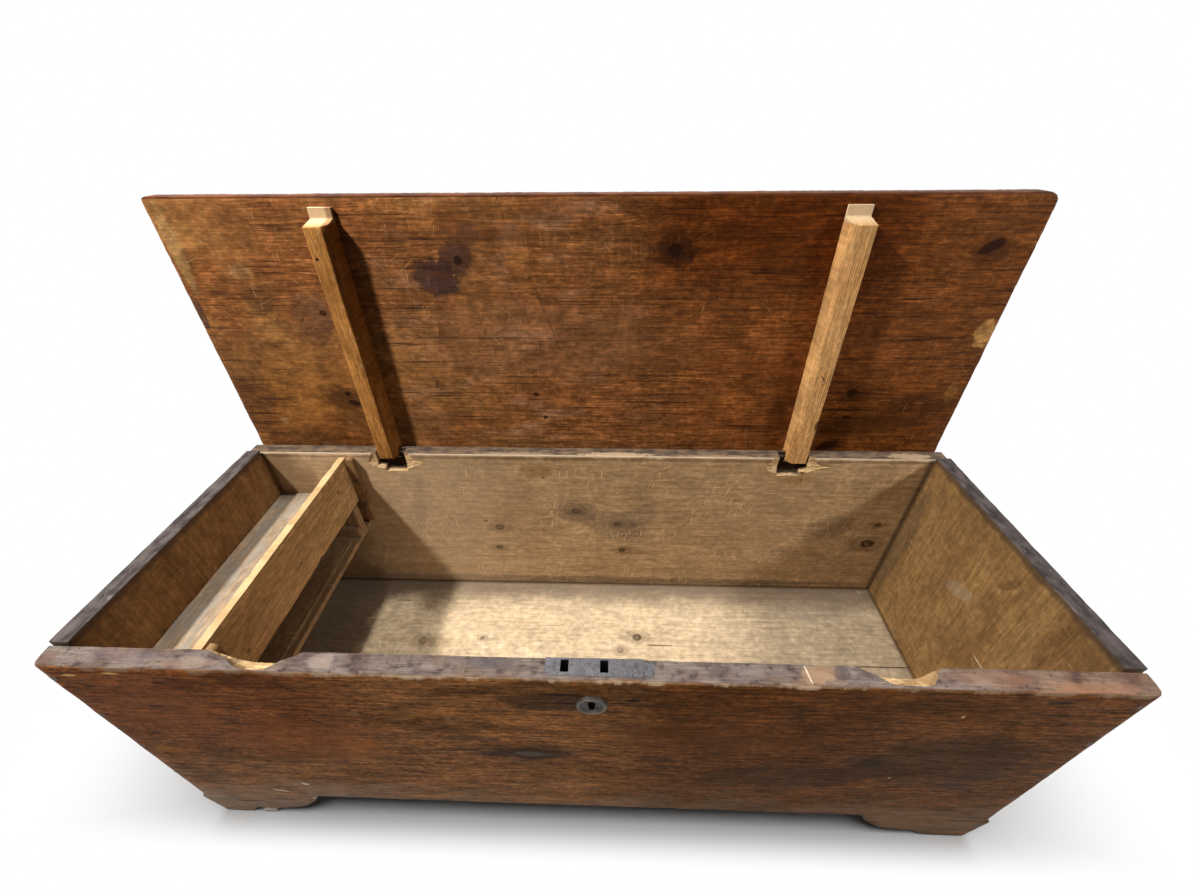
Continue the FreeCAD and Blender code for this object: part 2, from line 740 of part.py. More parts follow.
def cleat_nails_into(label, direction, y):
    return [
        nail("%s_%d" % (label, step), direction, small_nail_length,
             till_x + cleat_gap + cleat_width / 2, y, z)
        for step, z in enumerate((cleat_nail_low, cleat_nail_high))
    ]


cleat_nails = grouped(
    "till_cleat_nails",
    cleat_nails_into("back_cleat_nail", BACK, inner_back - cleat_thick)
    + cleat_nails_into("front_cleat_nail", FRONT, board_thick + cleat_thick),
)


def boss_pin_place(turn):
    """Where an escutcheon pin stands, turned about the middle of the escutcheon."""
    angle = math.radians(boss_pin_angle.value + turn)
    return key_x + boss_pin_reach * math.cos(angle), boss_z - boss_pin_reach * math.sin(angle)


def boss_pin(label, turn):
    x, z = boss_pin_place(turn)
    shank = rod(label + "_shank", BACK, boss_pin_radius, boss_pin_length, x, -boss_floor, z)
    head = rod(label + "_head", BACK, boss_pin_head, boss_pin_head_thick,
               x, -boss_floor - boss_pin_head_thick, z)
    return joined(label, shank, head)


def boss_pin_hole(label, turn):
    """The hole in the escutcheon for one of its pins."""
    x, z = boss_pin_place(turn)
    return rod("boss_pin_hole_" + label, BACK, boss_pin_radius + pin_seat_play,
               boss_height * 2, x, -boss_height, z)


boss_pins = grouped("escutcheon_pins", [boss_pin("boss_pin_low", 0), boss_pin("boss_pin_high", 180)])

front_board = without(
    "front_board", front_blank,
    left_scoop, right_scoop, lock_recess, tab_recess, key_recess,
    lock_screws, boss_pins, front_nails, base_nails, cleat_nails,
)

pieced_foot_blank = on_chest(board("pieced_foot_blank", "XZ_Plane", foot_outline(1) + [
    (half_length, seam_height),
], as_size(0), board_thick))
pieced_foot = without("pieced_front_foot", pieced_foot_blank, foot_nails)

back_outline = [left_top] + left_foot + [arch_left, arch_right] + foot_outline(1) + [right_top]
back_blank = doc.addObject("PartDesign::Body", "back_board_blank")
back_pad = padded(back_blank, "XZ_Plane", back_outline, inner_back, board_thick)
rounded(
    back_blank, back_pad, arris,
    lambda start, end: near(start.z, board_height) and near(end.z, board_height)
    and near(start.y, chest_depth) and near(end.y, chest_depth),
)
on_chest(back_blank)


def notch(label, middle, outer):
    """A notch in the back board; outer is the side on which its ledge lies.

    Only the batten's own width is chopped right through. Below it and beside it a skin of the
    board is left standing behind the notch.
    """
    def at(reach, drop):
        return (middle + reach * outer, board_height - drop)
    side = batten_width / 2 + notch_play
    inner = batten_width / 2 + notch_wide
    hollow = on_chest(board(label, "XZ_Plane", [
        at(side, -arris),
        at(side, notch_ledge - ledge_slope),
        at(side - ledge_width, notch_ledge),
        at(side - ledge_width, notch_floor),
        at(-inner, notch_floor),
        at(-inner, -arris),
    ], inner_back - arris, board_thick + arris - notch_skin))
    half_way = batten_width / 2 + way_play
    way = on_chest(board(label + "_way", "XZ_Plane", [
        at(half_way, -arris),
        at(half_way, notch_clear),
        at(-half_way, notch_clear),
        at(-half_way, -arris),
    ], inner_back - arris, board_thick + arris * 2))
    return [hollow, way]


def hinge_pin(label, middle, radius):
    return rod(label, RIGHT, radius, pin_length, middle - pin_length / 2, pin_y, pin_z)


left_pin = hinge_pin("left_hinge_pin", left_batten_x, pin_radius)
right_pin = hinge_pin("right_hinge_pin", right_batten_x, pin_radius)
back_board = without(
    "back_board", back_blank,
    *notch("left_notch", left_batten_x, -1),
    *notch("right_notch", right_batten_x, 1),
    hinge_pin("left_pin_seat", left_batten_x, pin_radius + pin_seat_play),
    hinge_pin("right_pin_seat", right_batten_x, pin_radius + pin_seat_play),
    back_nails, base_nails, cleat_nails,
)


# ---------------------------------------------------------------- end boards and bottom

def end_board(label, side):
    """An end board between the front and the back, with an arch sawn in its foot."""
    low = board_thick
    arch_from = low + end_foot_reach
    arch_to = inner_back - end_foot_reach
    half_chord = (arch_to - arch_from) / 2
    arch_radius = (half_chord * half_chord + end_arch_height * end_arch_height) \
        / (end_arch_height * 2)
    blank = on_chest(board(label + "_blank", "YZ_Plane", [
        (low, as_size(0)),
        (arch_from, as_size(0), arch_radius, -1),
        (arch_to, as_size(0)),
        (inner_back, as_size(0)),
        (inner_back, end_top),
        (low, end_top),
    ], inner_end if side > 0 else -half_length, end_thick))
    nails = [front_nails, back_nails, base_nails]
    if side > 0:
        nails.append(foot_nails)
    return without(label, blank, *nails)


left_end = end_board("left_end_board", -1)
right_end = end_board("right_end_board", 1)


def bottom_board(label, y0, y1):
    blank = block(label + "_blank", -inner_end, inner_end, y0, y1, base_top - base_thick, base_top)
    return without(label, blank, base_nails)


front_bottom = bottom_board("front_bottom_board", board_thick, base_split)
back_bottom = bottom_board("back_bottom_board", base_split + base_gap, inner_back)


# ---------------------------------------------------------------- till

till_side = block(
    "till_side", till_x - till_side_thick, till_x, board_thick, inner_back,
    tray_top - tray_thick, till_top,
)
tray_bottom = block(
    "till_tray_bottom", -inner_end, till_x - till_side_thick, board_thick, inner_back,
    tray_top - tray_thick, tray_top,
)
pocket_bottom = block(
    "till_pocket_bottom", -inner_end, till_x, board_thick, inner_back,
    pocket_floor_top - pocket_floor_thick, pocket_floor_top,
)
back_wall_y = inner_back - pocket_wall_inset - pocket_wall_thick
front_wall_y = board_thick + pocket_wall_inset
pocket_back_wall = block(
    "till_pocket_back_wall", -inner_end, till_x, back_wall_y, back_wall_y + pocket_wall_thick,
    pocket_floor_top, tray_top - tray_thick,
)
pocket_front_wall = block(
    "till_pocket_front_wall", -inner_end, till_x, front_wall_y, front_wall_y + pocket_wall_thick,
    pocket_floor_top, tray_top - tray_thick,
)
back_runner = block(
    "back_pocket_runner", -inner_end, till_x, back_wall_y - runner_width, back_wall_y,
    pocket_floor_top, pocket_floor_top + runner_height,
)
front_runner = block(
    "front_pocket_runner", -inner_end, till_x, front_wall_y + pocket_wall_thick,
    front_wall_y + pocket_wall_thick + runner_width,
    pocket_floor_top, pocket_floor_top + runner_height,
)


def cleat(label, start):
    """An upright strip with a rounded top that holds the till side against the end."""
    left = till_x + cleat_gap
    right = left + cleat_width
    shoulder = cleat_top - cleat_width / 2
    blank = on_chest(board(label + "_blank", "XZ_Plane", [
        (left, cleat_foot),
        (right, cleat_foot),
        (right, shoulder, None, 1),
        (left, shoulder),
    ], start, cleat_thick))
    return without(label, blank, cleat_nails)


back_cleat = cleat("back_till_cleat", inner_back - cleat_thick)
front_cleat = cleat("front_till_cleat", board_thick)


# ---------------------------------------------------------------- lock

plate_body = doc.addObject("PartDesign::Body", "lock_plate_blank")
edge_outline = [
    (lock_left + plate_corner, plate_front),
    (lock_right, plate_front),
    (lock_right, board_thick),
    (lock_left, board_thick),
    (lock_left, plate_front + plate_corner / 2),
]
padded(plate_body, "XY_Plane", edge_outline, board_height - plate_thick, plate_thick)
apron = new_sketch(plate_body, "lock_plate_apron", "XZ_Plane", -plate_back)
draw(apron, rectangle(lock_left, lock_right, board_height - plate_drop, board_height))
apron_pad = plate_body.newObject("PartDesign::Pad", "lock_plate_apron_pad")
apron_pad.Profile = apron
bind(apron_pad, "Length", plate_thick)
apron_pad.Reversed = True
slot_back = plate_back - slot_margin
for slot_name, slot_middle in (("left", lock_x + left_slot_x), ("right", lock_x + right_slot_x)):
    slot = new_sketch(plate_body, slot_name + "_slot", "XY_Plane", board_height - plate_thick)
    draw(slot, rectangle(slot_middle - slot_length / 2, slot_middle + slot_length / 2,
                         slot_back - slot_width, slot_back))
    slot_pocket = plate_body.newObject("PartDesign::Pocket", slot_name + "_slot_pocket")
    slot_pocket.Profile = slot
    bind(slot_pocket, "Length", plate_thick)
    slot_pocket.Reversed = True
on_chest(plate_body)
lock_plate = without("lock_plate", plate_body, lock_screws)

# The case is a shallow box, open at the top under the plate's edge and behind against its apron
case_back = plate_back
case_shell = without(
    "lock_case_shell",
    block("lock_case_outside", case_left, case_right, case_front, case_back,
          case_foot, board_height - plate_thick),
    block("lock_case_inside", case_left + case_wall, case_right - case_wall,
          case_front + case_wall, case_back + over, case_foot + case_wall, board_height),
)
case_keyhole = on_chest(board("lock_case_keyhole", "XZ_Plane", [
    (key_x - key_radius, key_z, None, -1),
    (key_x + key_radius, key_z),
    (key_x + key_slot / 2, key_z - key_drop),
    (key_x - key_slot / 2, key_z - key_drop),
], case_front - over, case_wall + over * 2))
lock_case = without("lock_case", case_shell, case_keyhole)

# The bolt: a bar that slides on two guide pins, with two horns whose noses pass the staples
bar_foot = board_height - bolt_bar_drop
bar_top = bar_foot + bolt_bar_height
bolt_left = case_left + case_wall + bolt_throw + bolt_end
bolt_right = bolt_left + bolt_length
bolt_front = case_front + case_wall + bolt_play
horn_top = bar_top + horn_height


def horn_outline(slot_middle):
    """A horn whose nose stands just to the right of its slot while the bolt is drawn back."""
    nose = lock_x + slot_middle + slot_length / 2 + nose_gap
    left = nose + nose_length
    return [
        (left + horn_width, bar_top),
        (left + horn_width, horn_top),
        (nose, horn_top),
        (nose, horn_top - nose_height),
        (left, horn_top - nose_height),
        (left, bar_top),
    ]


talon_middle = key_x + bolt_throw / 2
bolt_outline = [
    (bolt_left, bar_foot),
    (talon_middle - talon_width / 2, bar_foot),
    (talon_middle - talon_width / 2, bar_foot + talon_depth),
    (talon_middle + talon_width / 2, bar_foot + talon_depth),
    (talon_middle + talon_width / 2, bar_foot),
    (bolt_right, bar_foot),
    (bolt_right, bar_top),
] + horn_outline(right_slot_x) + horn_outline(left_slot_x) + [(bolt_left, bar_top)]
bolt_blank = on_chest(board("lock_bolt_blank", "XZ_Plane", bolt_outline, bolt_front, bolt_thick))
guide_z = (bar_foot + bar_top) / 2 + guide_rise
bolt_mid = (bolt_left + bolt_right) / 2
guide_places = (bolt_mid - guide_spread, bolt_mid + guide_spread)
guide_slot_radius = guide_radius + guide_play


def guide_slot(label, middle):
    """The slot in the bolt that slides along one guide pin; the pin stands at its left end."""
    right = middle + bolt_throw
    return on_chest(board(label, "XZ_Plane", [
        (middle, guide_z - guide_slot_radius),
        (right, guide_z - guide_slot_radius, None, 1),
        (right, guide_z + guide_slot_radius),
        (middle, guide_z + guide_slot_radius, None, 1),
    ], bolt_front - over, bolt_thick + over * 2))


lock_bolt = without(
    "lock_bolt", bolt_blank,
    guide_slot("left_guide_slot", guide_places[0]),
    guide_slot("right_guide_slot", guide_places[1]),
)
guide_pins = grouped("bolt_guide_pins", [
    rod("bolt_guide_pin_%d" % number, BACK, guide_radius, case_depth - case_wall,
        x, case_front + case_wall, guide_z)
    for number, x in enumerate(guide_places)
])
drill_pin = rod(
    "lock_drill_pin", FRONT, drill_pin_radius, plate_back - drill_pin_tip,
    key_x, plate_back, key_z,
)
lock_tab = on_chest(board(
    "lock_side_tab", "XY_Plane", tab_outline, board_height - plate_thick, plate_thick
))

# Escutcheon: a round boss with a raised rim and a dished middle, pierced by the keyhole
boss_body = doc.addObject("PartDesign::Body", "escutcheon_blank")
boss_profile = new_sketch(boss_body, "escutcheon_profile", "XY_Plane", as_size(0))
draw(boss_profile, [
    (as_size(0), as_size(0)),
    (boss_radius, as_size(0)),
    (boss_radius, -boss_edge),
    (boss_rim + bead_half, -boss_height + bead_drop),
    (boss_rim, -boss_height),
    (boss_rim - bead_half, -boss_height + bead_drop),
    (boss_dish, -boss_floor),
    (as_size(0), -boss_floor),
])
boss_turn = boss_body.newObject("PartDesign::Revolution", "escutcheon_turn")
boss_turn.Profile = boss_profile
boss_turn.ReferenceAxis = (boss_profile, ["V_Axis"])
boss_turn.Angle = 360
boss_profile.Visibility = False
bind(boss_body, "Placement.Base.x", key_x)
bind(boss_body, "Placement.Base.y", front_y)
bind(boss_body, "Placement.Base.z", boss_z)
boss_keyhole = on_chest(board("escutcheon_keyhole", "XZ_Plane", [
    (key_x - key_radius, key_z, None, -1),
    (key_x + key_radius, key_z),
    (key_x + key_slot / 2, key_z - key_drop),
    (key_x - key_slot / 2, key_z - key_drop),
], -boss_height - over, boss_height + over * 2))
escutcheon = without(
    "escutcheon", boss_body, boss_keyhole, boss_pin_hole("low", 0), boss_pin_hole("high", 180)
)


# ---------------------------------------------------------------- lid and battens

lid_top = lid_face + lid_thick
lid_blank = doc.addObject("PartDesign::Body", "lid_board_blank")
lid_pad = padded(lid_blank, "XY_Plane", [
    (-half_length, lid_back),
    (-half_length, -lid_front + lid_corner_left, lid_corner_left, 1),
    (-half_length + lid_corner_left, -lid_front),
    (half_length - lid_corner_right, -lid_front, lid_corner_right, 1),
    (half_length, -lid_front + lid_corner_right),
    (half_length, lid_back),
], lid_face, lid_thick)
rounded(
    lid_blank, lid_pad, arris,
    lambda start, end: near(start.z, lid_top) and near(end.z, lid_top)
    and not near(start.y, lid_back),
)
on_lid(lid_blank)


def lid_piece(label, x0, x1, y0, y1, z0, z1):
    """A block drawn about the hinge pin with the lid shut."""
    return on_lid(board(label, "XY_Plane", rectangle(x0, x1, y0, y1), z0, z1 - z0))


def batten_nail(label, x, y):
    """A nail from the lid's outer face into a batten."""
    parts = []
    for part, wide, far in (
        ("head", nail_head, nail_head_thick), ("shank", nail_shank, batten_nail_length)
    ):
        parts.append(lid_piece(
            label + "_" + part, x - wide / 2, x + wide / 2, y - wide / 2, y + wide / 2,
            lid_top - far, lid_top,
        ))
    return joined(label, *parts)


def batten_nails(label, x):
    return grouped(label, [
        batten_nail("%s_%d" % (label, step), x, -y)
        for step, y in enumerate(evenly(batten_nail_front, batten_nail_back, 4))
    ])


def batten(label, middle, inner, nails):
    """A batten with a tongue at each end, a bore for its pin and a planed inner arris."""
    face = lid_face - batten_thick
    tongue = lid_face - tongue_thick
    body = doc.addObject("PartDesign::Body", label + "_blank")
    padded(body, "YZ_Plane", [
        (-tongue_front, lid_face),
        (-tongue_front, tongue),
        (-batten_front - batten_slope, tongue),
        (-batten_front, face),
        (batten_back, face),
        (batten_back, tongue),
        (tongue_back, tongue),
        (tongue_back, lid_face),
    ], middle - batten_width / 2, batten_width, [(as_size(0), as_size(0), pin_radius + pin_play)])
    edge = middle + batten_width / 2 * inner
    shaving = new_sketch(body, label + "_shaving", "XZ_Plane", as_size(0))
    corners = [(edge, face), (edge, face + batten_chamfer), (edge - batten_chamfer * inner, face)]
    draw(shaving, corners)
    plane = body.newObject("PartDesign::Pocket", label + "_planing")
    plane.Profile = shaving
    bind(plane, "Length", tongue_front * 2)
    plane.Midplane = True
    on_lid(body)
    return without(label, body, nails)


left_batten_nails = batten_nails("left_batten_nails", left_batten_x)
right_batten_nails = batten_nails("right_batten_nails", right_batten_x)
left_batten = batten("left_batten", left_batten_x, 1, left_batten_nails)
right_batten = batten("right_batten", right_batten_x, -1, right_batten_nails)
lid_board = without("lid_board", lid_blank, left_batten_nails, right_batten_nails)


# ---------------------------------------------------------------- check and write

PIECES = [
    front_board, pieced_foot, back_board, left_end, right_end, front_bottom, back_bottom,
    front_nails, back_nails, base_nails, foot_nails,
    till_side, tray_bottom, pocket_bottom, pocket_back_wall, pocket_front_wall,
    back_runner, front_runner, back_cleat, front_cleat, cleat_nails,
    lock_plate, lock_case, lock_bolt, guide_pins, drill_pin, lock_screws, lock_tab,
    escutcheon, boss_pins, left_pin, right_pin,
    lid_board, left_batten, right_batten, left_batten_nails, right_batten_nails,
]

doc.recompute()
failed = [
    "%s (%s)" % (thing.Label, thing.getStatusString())
    for thing in doc.Objects if {"Invalid", "Error"} & set(thing.State)
]
if failed:
    raise RuntimeError("failed: " + ", ".join(failed))
for piece in PIECES:
    if piece.Shape.isNull() or not piece.Shape.isValid() or not piece.Shape.Solids:
        raise RuntimeError("%s has no valid solid" % piece.Label)

os.makedirs("parts", exist_ok=True)
for piece in PIECES:
    piece.Shape.exportStep(os.path.join("parts", piece.Label + ".step"))
    box = piece.Shape.BoundBox
    print("%-24s %d solid(s)  x %.1f..%.1f  y %.1f..%.1f  z %.1f..%.1f" % (
        piece.Label, len(piece.Shape.Solids),
        box.XMin, box.XMax, box.YMin, box.YMax, box.ZMin, box.ZMax,
    ))
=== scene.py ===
import math

import bpy
from mathutils import Euler, Matrix, Vector


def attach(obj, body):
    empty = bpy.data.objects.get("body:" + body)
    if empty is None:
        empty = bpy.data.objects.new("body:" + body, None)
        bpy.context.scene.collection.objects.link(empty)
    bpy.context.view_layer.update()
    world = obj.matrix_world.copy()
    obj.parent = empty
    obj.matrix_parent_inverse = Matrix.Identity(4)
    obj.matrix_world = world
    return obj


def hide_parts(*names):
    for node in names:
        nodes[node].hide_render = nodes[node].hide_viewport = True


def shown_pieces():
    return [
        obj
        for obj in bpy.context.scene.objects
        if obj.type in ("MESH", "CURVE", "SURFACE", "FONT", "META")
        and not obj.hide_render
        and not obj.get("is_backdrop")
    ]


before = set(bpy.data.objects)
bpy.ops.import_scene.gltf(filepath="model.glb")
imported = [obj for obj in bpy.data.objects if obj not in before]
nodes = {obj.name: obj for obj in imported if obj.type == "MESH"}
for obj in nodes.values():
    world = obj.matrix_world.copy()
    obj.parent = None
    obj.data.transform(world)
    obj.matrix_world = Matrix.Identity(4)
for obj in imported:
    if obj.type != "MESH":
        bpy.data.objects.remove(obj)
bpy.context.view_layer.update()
bpy.ops.object.select_all(action="DESELECT")
scene = bpy.context.scene

# Boards are laid out in millimetres: x along the chest, y back from its front face, z up.
MM = 0.001
FRONT_Y = -202.4454
HINGE = Vector((0, 364.5 + FRONT_Y, 413.2)) * MM
LID_TURN = math.radians(-91.17)
LID_PLACE = Matrix.Translation(HINGE) @ Matrix.Rotation(LID_TURN, 4, "X")
CHEST_PLACE = Matrix.Translation((0, FRONT_Y * MM, 0))


# ---------------------------------------------------------------- finishes: wiring

class Wire:
    """A socket in a finish's node tree, so that its maths reads as expressions."""

    def __init__(self, tree, socket):
        self.tree, self.socket = tree, socket

    def node(self, kind, settings=(), inputs=(), output=0):
        """A new node, from its type, its settings and the values or wires of its sockets."""
        made = self.tree.nodes.new(kind)
        for name, value in dict(settings).items():
            if name == "stops":
                ramp = made.color_ramp
                for place, colour in value[len(ramp.elements):]:
                    ramp.elements.new(place)
                for stop, (place, colour) in zip(ramp.elements, value):
                    stop.position, stop.color = place, (*colour, 1)
            else:
                setattr(made, name, value)
        for key, value in dict(inputs).items():
            if isinstance(value, Wire):
                self.tree.links.new(value.socket, made.inputs[key])
            else:
                made.inputs[key].default_value = value
        return Wire(self.tree, made.outputs[output] if len(made.outputs) else None)

    def math(self, operation, *others):
        return self.node("ShaderNodeMath", {"operation": operation}, enumerate((self,) + others))

    def __add__(self, other):
        return self.math("ADD", other)

    __radd__ = __add__

    def __sub__(self, other):
        return self.math("SUBTRACT", other)

    def __rsub__(self, other):
        return self.node("ShaderNodeMath", {"operation": "SUBTRACT"}, {0: other, 1: self})

    def __mul__(self, other):
        return self.math("MULTIPLY", other)

    __rmul__ = __mul__

    def __truediv__(self, other):
        return self.math("DIVIDE", other)

    def __abs__(self):
        return self.math("ABSOLUTE")

    def vector(self, operation, *others, output=0):
        return self.node("ShaderNodeVectorMath", {"operation": operation},
                         enumerate((self,) + others), output)

    def step(self, low, high):
        """0 at low and 1 at high, smooth between; low may be the larger."""
        return self.node("ShaderNodeMapRange", {"interpolation_type": "SMOOTHSTEP"},
                         {0: self, 1: low, 2: high})

    def spread(self, low, high):
        """0 to 1 spread over low to high."""
        return self.node("ShaderNodeMapRange", {}, {0: self, 3: low, 4: high})

    def mix(self, first, second):
        """The first colour where this is 0 and the second where it is 1."""
        return self.node("ShaderNodeMix", {"data_type": "RGBA"},
                         {0: self, 6: paint(first), 7: paint(second)}, 2)

    def shade(self, colour, amount):
        """This colour multiplied by another, by an amount."""
        return self.node("ShaderNodeMix", {"data_type": "RGBA", "blend_type": "MULTIPLY"},
                         {0: amount, 6: self, 7: paint(colour)}, 2)

    def level(self, amount):
        """This colour, brighter or darker by an amount."""
        return self.node("ShaderNodeVectorMath", {"operation": "SCALE"}, {0: self, "Scale": amount})

    def ramp(self, *stops):
        return self.node("ShaderNodeValToRGB", {"stops": stops}, {0: self})

    def noise(self, size, detail=2.0, rough=0.5, twist=0.0):
        """Noise with lumps of about that size in millimetres."""
        return self.node("ShaderNodeTexNoise", {}, {
            "Vector": self, "Scale": 1000 / size, "Detail": detail, "Roughness": rough,
            "Distortion": twist})

    def times(self, x, y, z):
        return self.vector("MULTIPLY", (x, y, z))

    def moved(self, x, y, z):
        return self.vector("ADD", (x, y, z))

    def parts(self):
        split = self.node("ShaderNodeSeparateXYZ", {}, {0: self})
        made = split.socket.node
        return [Wire(self.tree, made.outputs[number]) for number in range(3)]


def paint(colour):
    return colour if isinstance(colour, Wire) else (*colour, 1)


def backdrop_rays(tree):
    """1 for rays from the camera and for those that gloss or glass sends on, else 0."""
    rays = tree.nodes.new("ShaderNodeLightPath").outputs
    camera, gloss, glass = [Wire(tree, rays[name]) for name in (
        "Is Camera Ray", "Is Glossy Ray", "Is Transmission Ray")]
    return camera.math("MAXIMUM", gloss).math("MAXIMUM", glass)


def joined_up(x, y, z=0.0):
    wire = x if isinstance(x, Wire) else y
    return wire.node("ShaderNodeCombineXYZ", {}, {0: x, 1: y, 2: z})


def finish(name, make, **gloss):
    """A finish whose make(at) gives its colour, roughness, height in metres and metalness."""
    material = bpy.data.materials.new(name)
    material.use_nodes = True
    tree = material.node_tree
    tree.nodes.clear()
    root = Wire(tree, tree.nodes.new("ShaderNodeTexCoord").outputs["Object"])
    colour, rough, height, metal = make(root)
    sockets = {"Base Color": colour, "Roughness": rough, "Metallic": metal}
    sockets.update(gloss)
    if height is not None:
        sockets["Normal"] = root.node("ShaderNodeBump", {}, {
            "Strength": 1.0, "Distance": 1.0, "Height": height})
    shader = root.node("ShaderNodeBsdfPrincipled", {}, {
        key: (paint(value) if key == "Base Color" else value) for key, value in sockets.items()})
    root.node("ShaderNodeOutputMaterial", {}, {"Surface": shader})
    return material


# ---------------------------------------------------------------- finishes: wood

def own_frame(at, turned=False):
    """Object coordinates as millimetres from the chest's front face, or about the lid's pin."""
    if turned:
        at = at.node("ShaderNodeMapping", {"vector_type": "TEXTURE"},
                     {"Vector": at, "Location": HINGE, "Rotation": (LID_TURN, 0, 0)})
    else:
        at = at.moved(0, -FRONT_Y * MM, 0)
    return at.times(1000, 1000, 1000)


def spot(flat, rag, u, v, reach_u, reach_v, turn=0.0):
    """1 inside a ragged oval about (u, v) and 0 outside it."""
    c, s = math.cos(math.radians(turn)), math.sin(math.radians(turn))
    off = flat.vector("SUBTRACT", (u, v, 0))
    a = off.vector("DOT_PRODUCT", (c / reach_u, s / reach_u, 0), output=1)
    b = off.vector("DOT_PRODUCT", (-s / reach_v, c / reach_v, 0), output=1)
    return (a * a + b * b + rag).step(1.25, 0.55)


def hairs(flat, turn, lane, reach, share, seed, thin=0.07, bend=0.8):
    """Thin scratches at an angle: lanes across, a share of their lengths scratched."""
    wave = flat.node("ShaderNodeTexNoise", {}, {
        "Vector": flat.moved(seed * 13.1, seed * 7.7, seed), "Scale": 0.02, "Detail": 1.0})
    c, s = math.cos(math.radians(turn)), math.sin(math.radians(turn))
    along = flat.vector("DOT_PRODUCT", (c / reach, s / reach, 0), output=1)
    across = flat.vector("DOT_PRODUCT", (-s / lane, c / lane, 0), output=1) + wave * (bend * 20 / lane)
    row = across.math("FLOOR")
    shift = row.node("ShaderNodeTexWhiteNoise", {"noise_dimensions": "1D"}, {"W": row + seed})
    along = along + shift * 9
    cell = along.math("FLOOR")
    chance = row.node("ShaderNodeTexWhiteNoise", {"noise_dimensions": "2D"},
                      {"Vector": joined_up(row, cell)})
    line = abs(across - row - 0.5).step(thin, thin * 0.3)
    short = chance * 40
    length = abs(along - cell - 0.5).step(0.42, 0.3) * (short - short.math("FLOOR")).spread(0.3, 1.0)
    return line * length * chance.step(1 - share - 0.01, 1 - share + 0.01)


def pine(along, across, depth, light, dark, knots=(), ring=4.0, heart=(0.0, 70.0), seed=0.0,
         wander=6.0, contrast=0.5, lively=1.0):
    """Planed pine from its three coordinates in millimetres, the first along the grain.

    Growth rings lie round a heart beside the board, drawn aside by each knot. Gives the colour,
    a height for the grain, the flat coordinates, the ragged edge that marks share and the fibre.
    """
    flat = joined_up(along, across)
    rag = (flat.node("ShaderNodeTexNoise", {}, {
        "Vector": flat.moved(seed * 3, seed, 0), "Scale": 0.1, "Detail": 4.0, "Roughness": 0.65}) - 0.5) * 1.5
    pull = across
    knots = [(u, v, radius * 1.3) for u, v, radius in knots]
    for u, v, radius in knots:
        near = flat.times(0.5, 1, 1).vector("DISTANCE", (u * 0.5, v, 0), output=1)
        pull = pull - (across - v) * near.step(radius * 5.5, radius * 0.6) * 0.8
    slow = joined_up(along * 0.0028, across * 0.012, depth * 0.012)
    drift = slow.node("ShaderNodeTexNoise", {}, {
        "Vector": slow.moved(seed, seed * 2, 0), "Scale": 1.0, "Detail": 3.0, "Roughness": 0.5})
    side = pull - heart[0] + (drift - 0.5) * wander * 6
    back = depth + heart[1] + (drift - 0.5) * wander
    radius = (side * side + back * back).math("SQRT")
    fine = joined_up(along * 0.012, across * 0.3, depth * 0.3)
    wobble = fine.node("ShaderNodeTexNoise", {}, {"Vector": fine, "Scale": 1.0, "Detail": 3.0})
    year = radius / ring + (wobble - 0.5) * 0.9
    part = year.math("FRACT")
    late = part.step(0.3, 0.9) * part.step(1.0, 0.93)
    thread = joined_up(along * 0.022, across * 0.75, depth * 0.75)
    fibre = thread.node("ShaderNodeTexNoise", {}, {
        "Vector": thread, "Scale": 1.0, "Detail": 4.0, "Roughness": 0.7})
    bare = slow.node("ShaderNodeTexNoise", {}, {
        "Vector": slow.times(3, 1.5, 1), "Scale": 1.0, "Detail": 2.0}).step(0.36, 0.66)
    grain = late * contrast * bare.spread(0.3, 1.0) + fibre.step(0.3, 0.72) * 0.42 + drift * 0.15
    colour = grain.ramp((0.05, light), (0.85, dark))
    speck = flat.node("ShaderNodeTexNoise", {}, {
        "Vector": flat.times(0.6, 1, 1), "Scale": 0.22, "Detail": 4.0, "Roughness": 0.75})
    colour = colour.level(speck.step(0.3, 0.7).spread(1 - lively * 0.24, 1 + lively * 0.22))
    streak = flat.node("ShaderNodeTexNoise", {}, {
        "Vector": flat.times(0.1, 1.4, 1), "Scale": 0.16, "Detail": 5.0, "Roughness": 0.62})
    colour = colour.level(streak.step(0.32, 0.68).spread(1 - lively * 0.3, 1 + lively * 0.26))
    for u, v, radius in knots:
        core = spot(flat, rag * 0.4, u, v, radius * 1.15, radius * 0.9)
        halo = spot(flat, rag * 1.4, u, v, radius * 3.0, radius * 1.8)
        colour = (halo * 0.5).mix(colour, tuple(c * 0.45 for c in dark))
        eye = flat.vector("DISTANCE", (u, v, 0), output=1)
        rings = (eye * (7.0 / radius)).math("SINE").spread(0.25, 0.9)
        colour = core.mix(colour, rings.mix((0.014, 0.006, 0.003), tuple(c * 0.5 for c in dark)))
    height = (fibre * 0.00025 - late * 0.00006 + speck * 0.0002)
    return colour, height, flat, rag, fibre


def blotches(flat, size, low, high, seed=0.0, squash=1.0, detail=3.0):
    """Cloudy patches of about that size, 0 to 1, longer along the grain where squash is over 1."""
    place = flat.times(1 / size, squash / size, 1).moved(seed * 5.3, seed * 2.9, seed)
    cloud = place.node("ShaderNodeTexNoise", {}, {
        "Vector": place, "Scale": 1.0, "Detail": detail, "Roughness": 0.6})
    return cloud.step(low, high)


def marks(colour, flat, rag, places):
    """Listed marks: (u, v, reach_u, reach_v, turn, paint, strength)."""
    for u, v, reach_u, reach_v, turn, tint, strength in places:
        colour = (spot(flat, rag, u, v, reach_u, reach_v, turn) * strength).mix(colour, tint)
    return colour


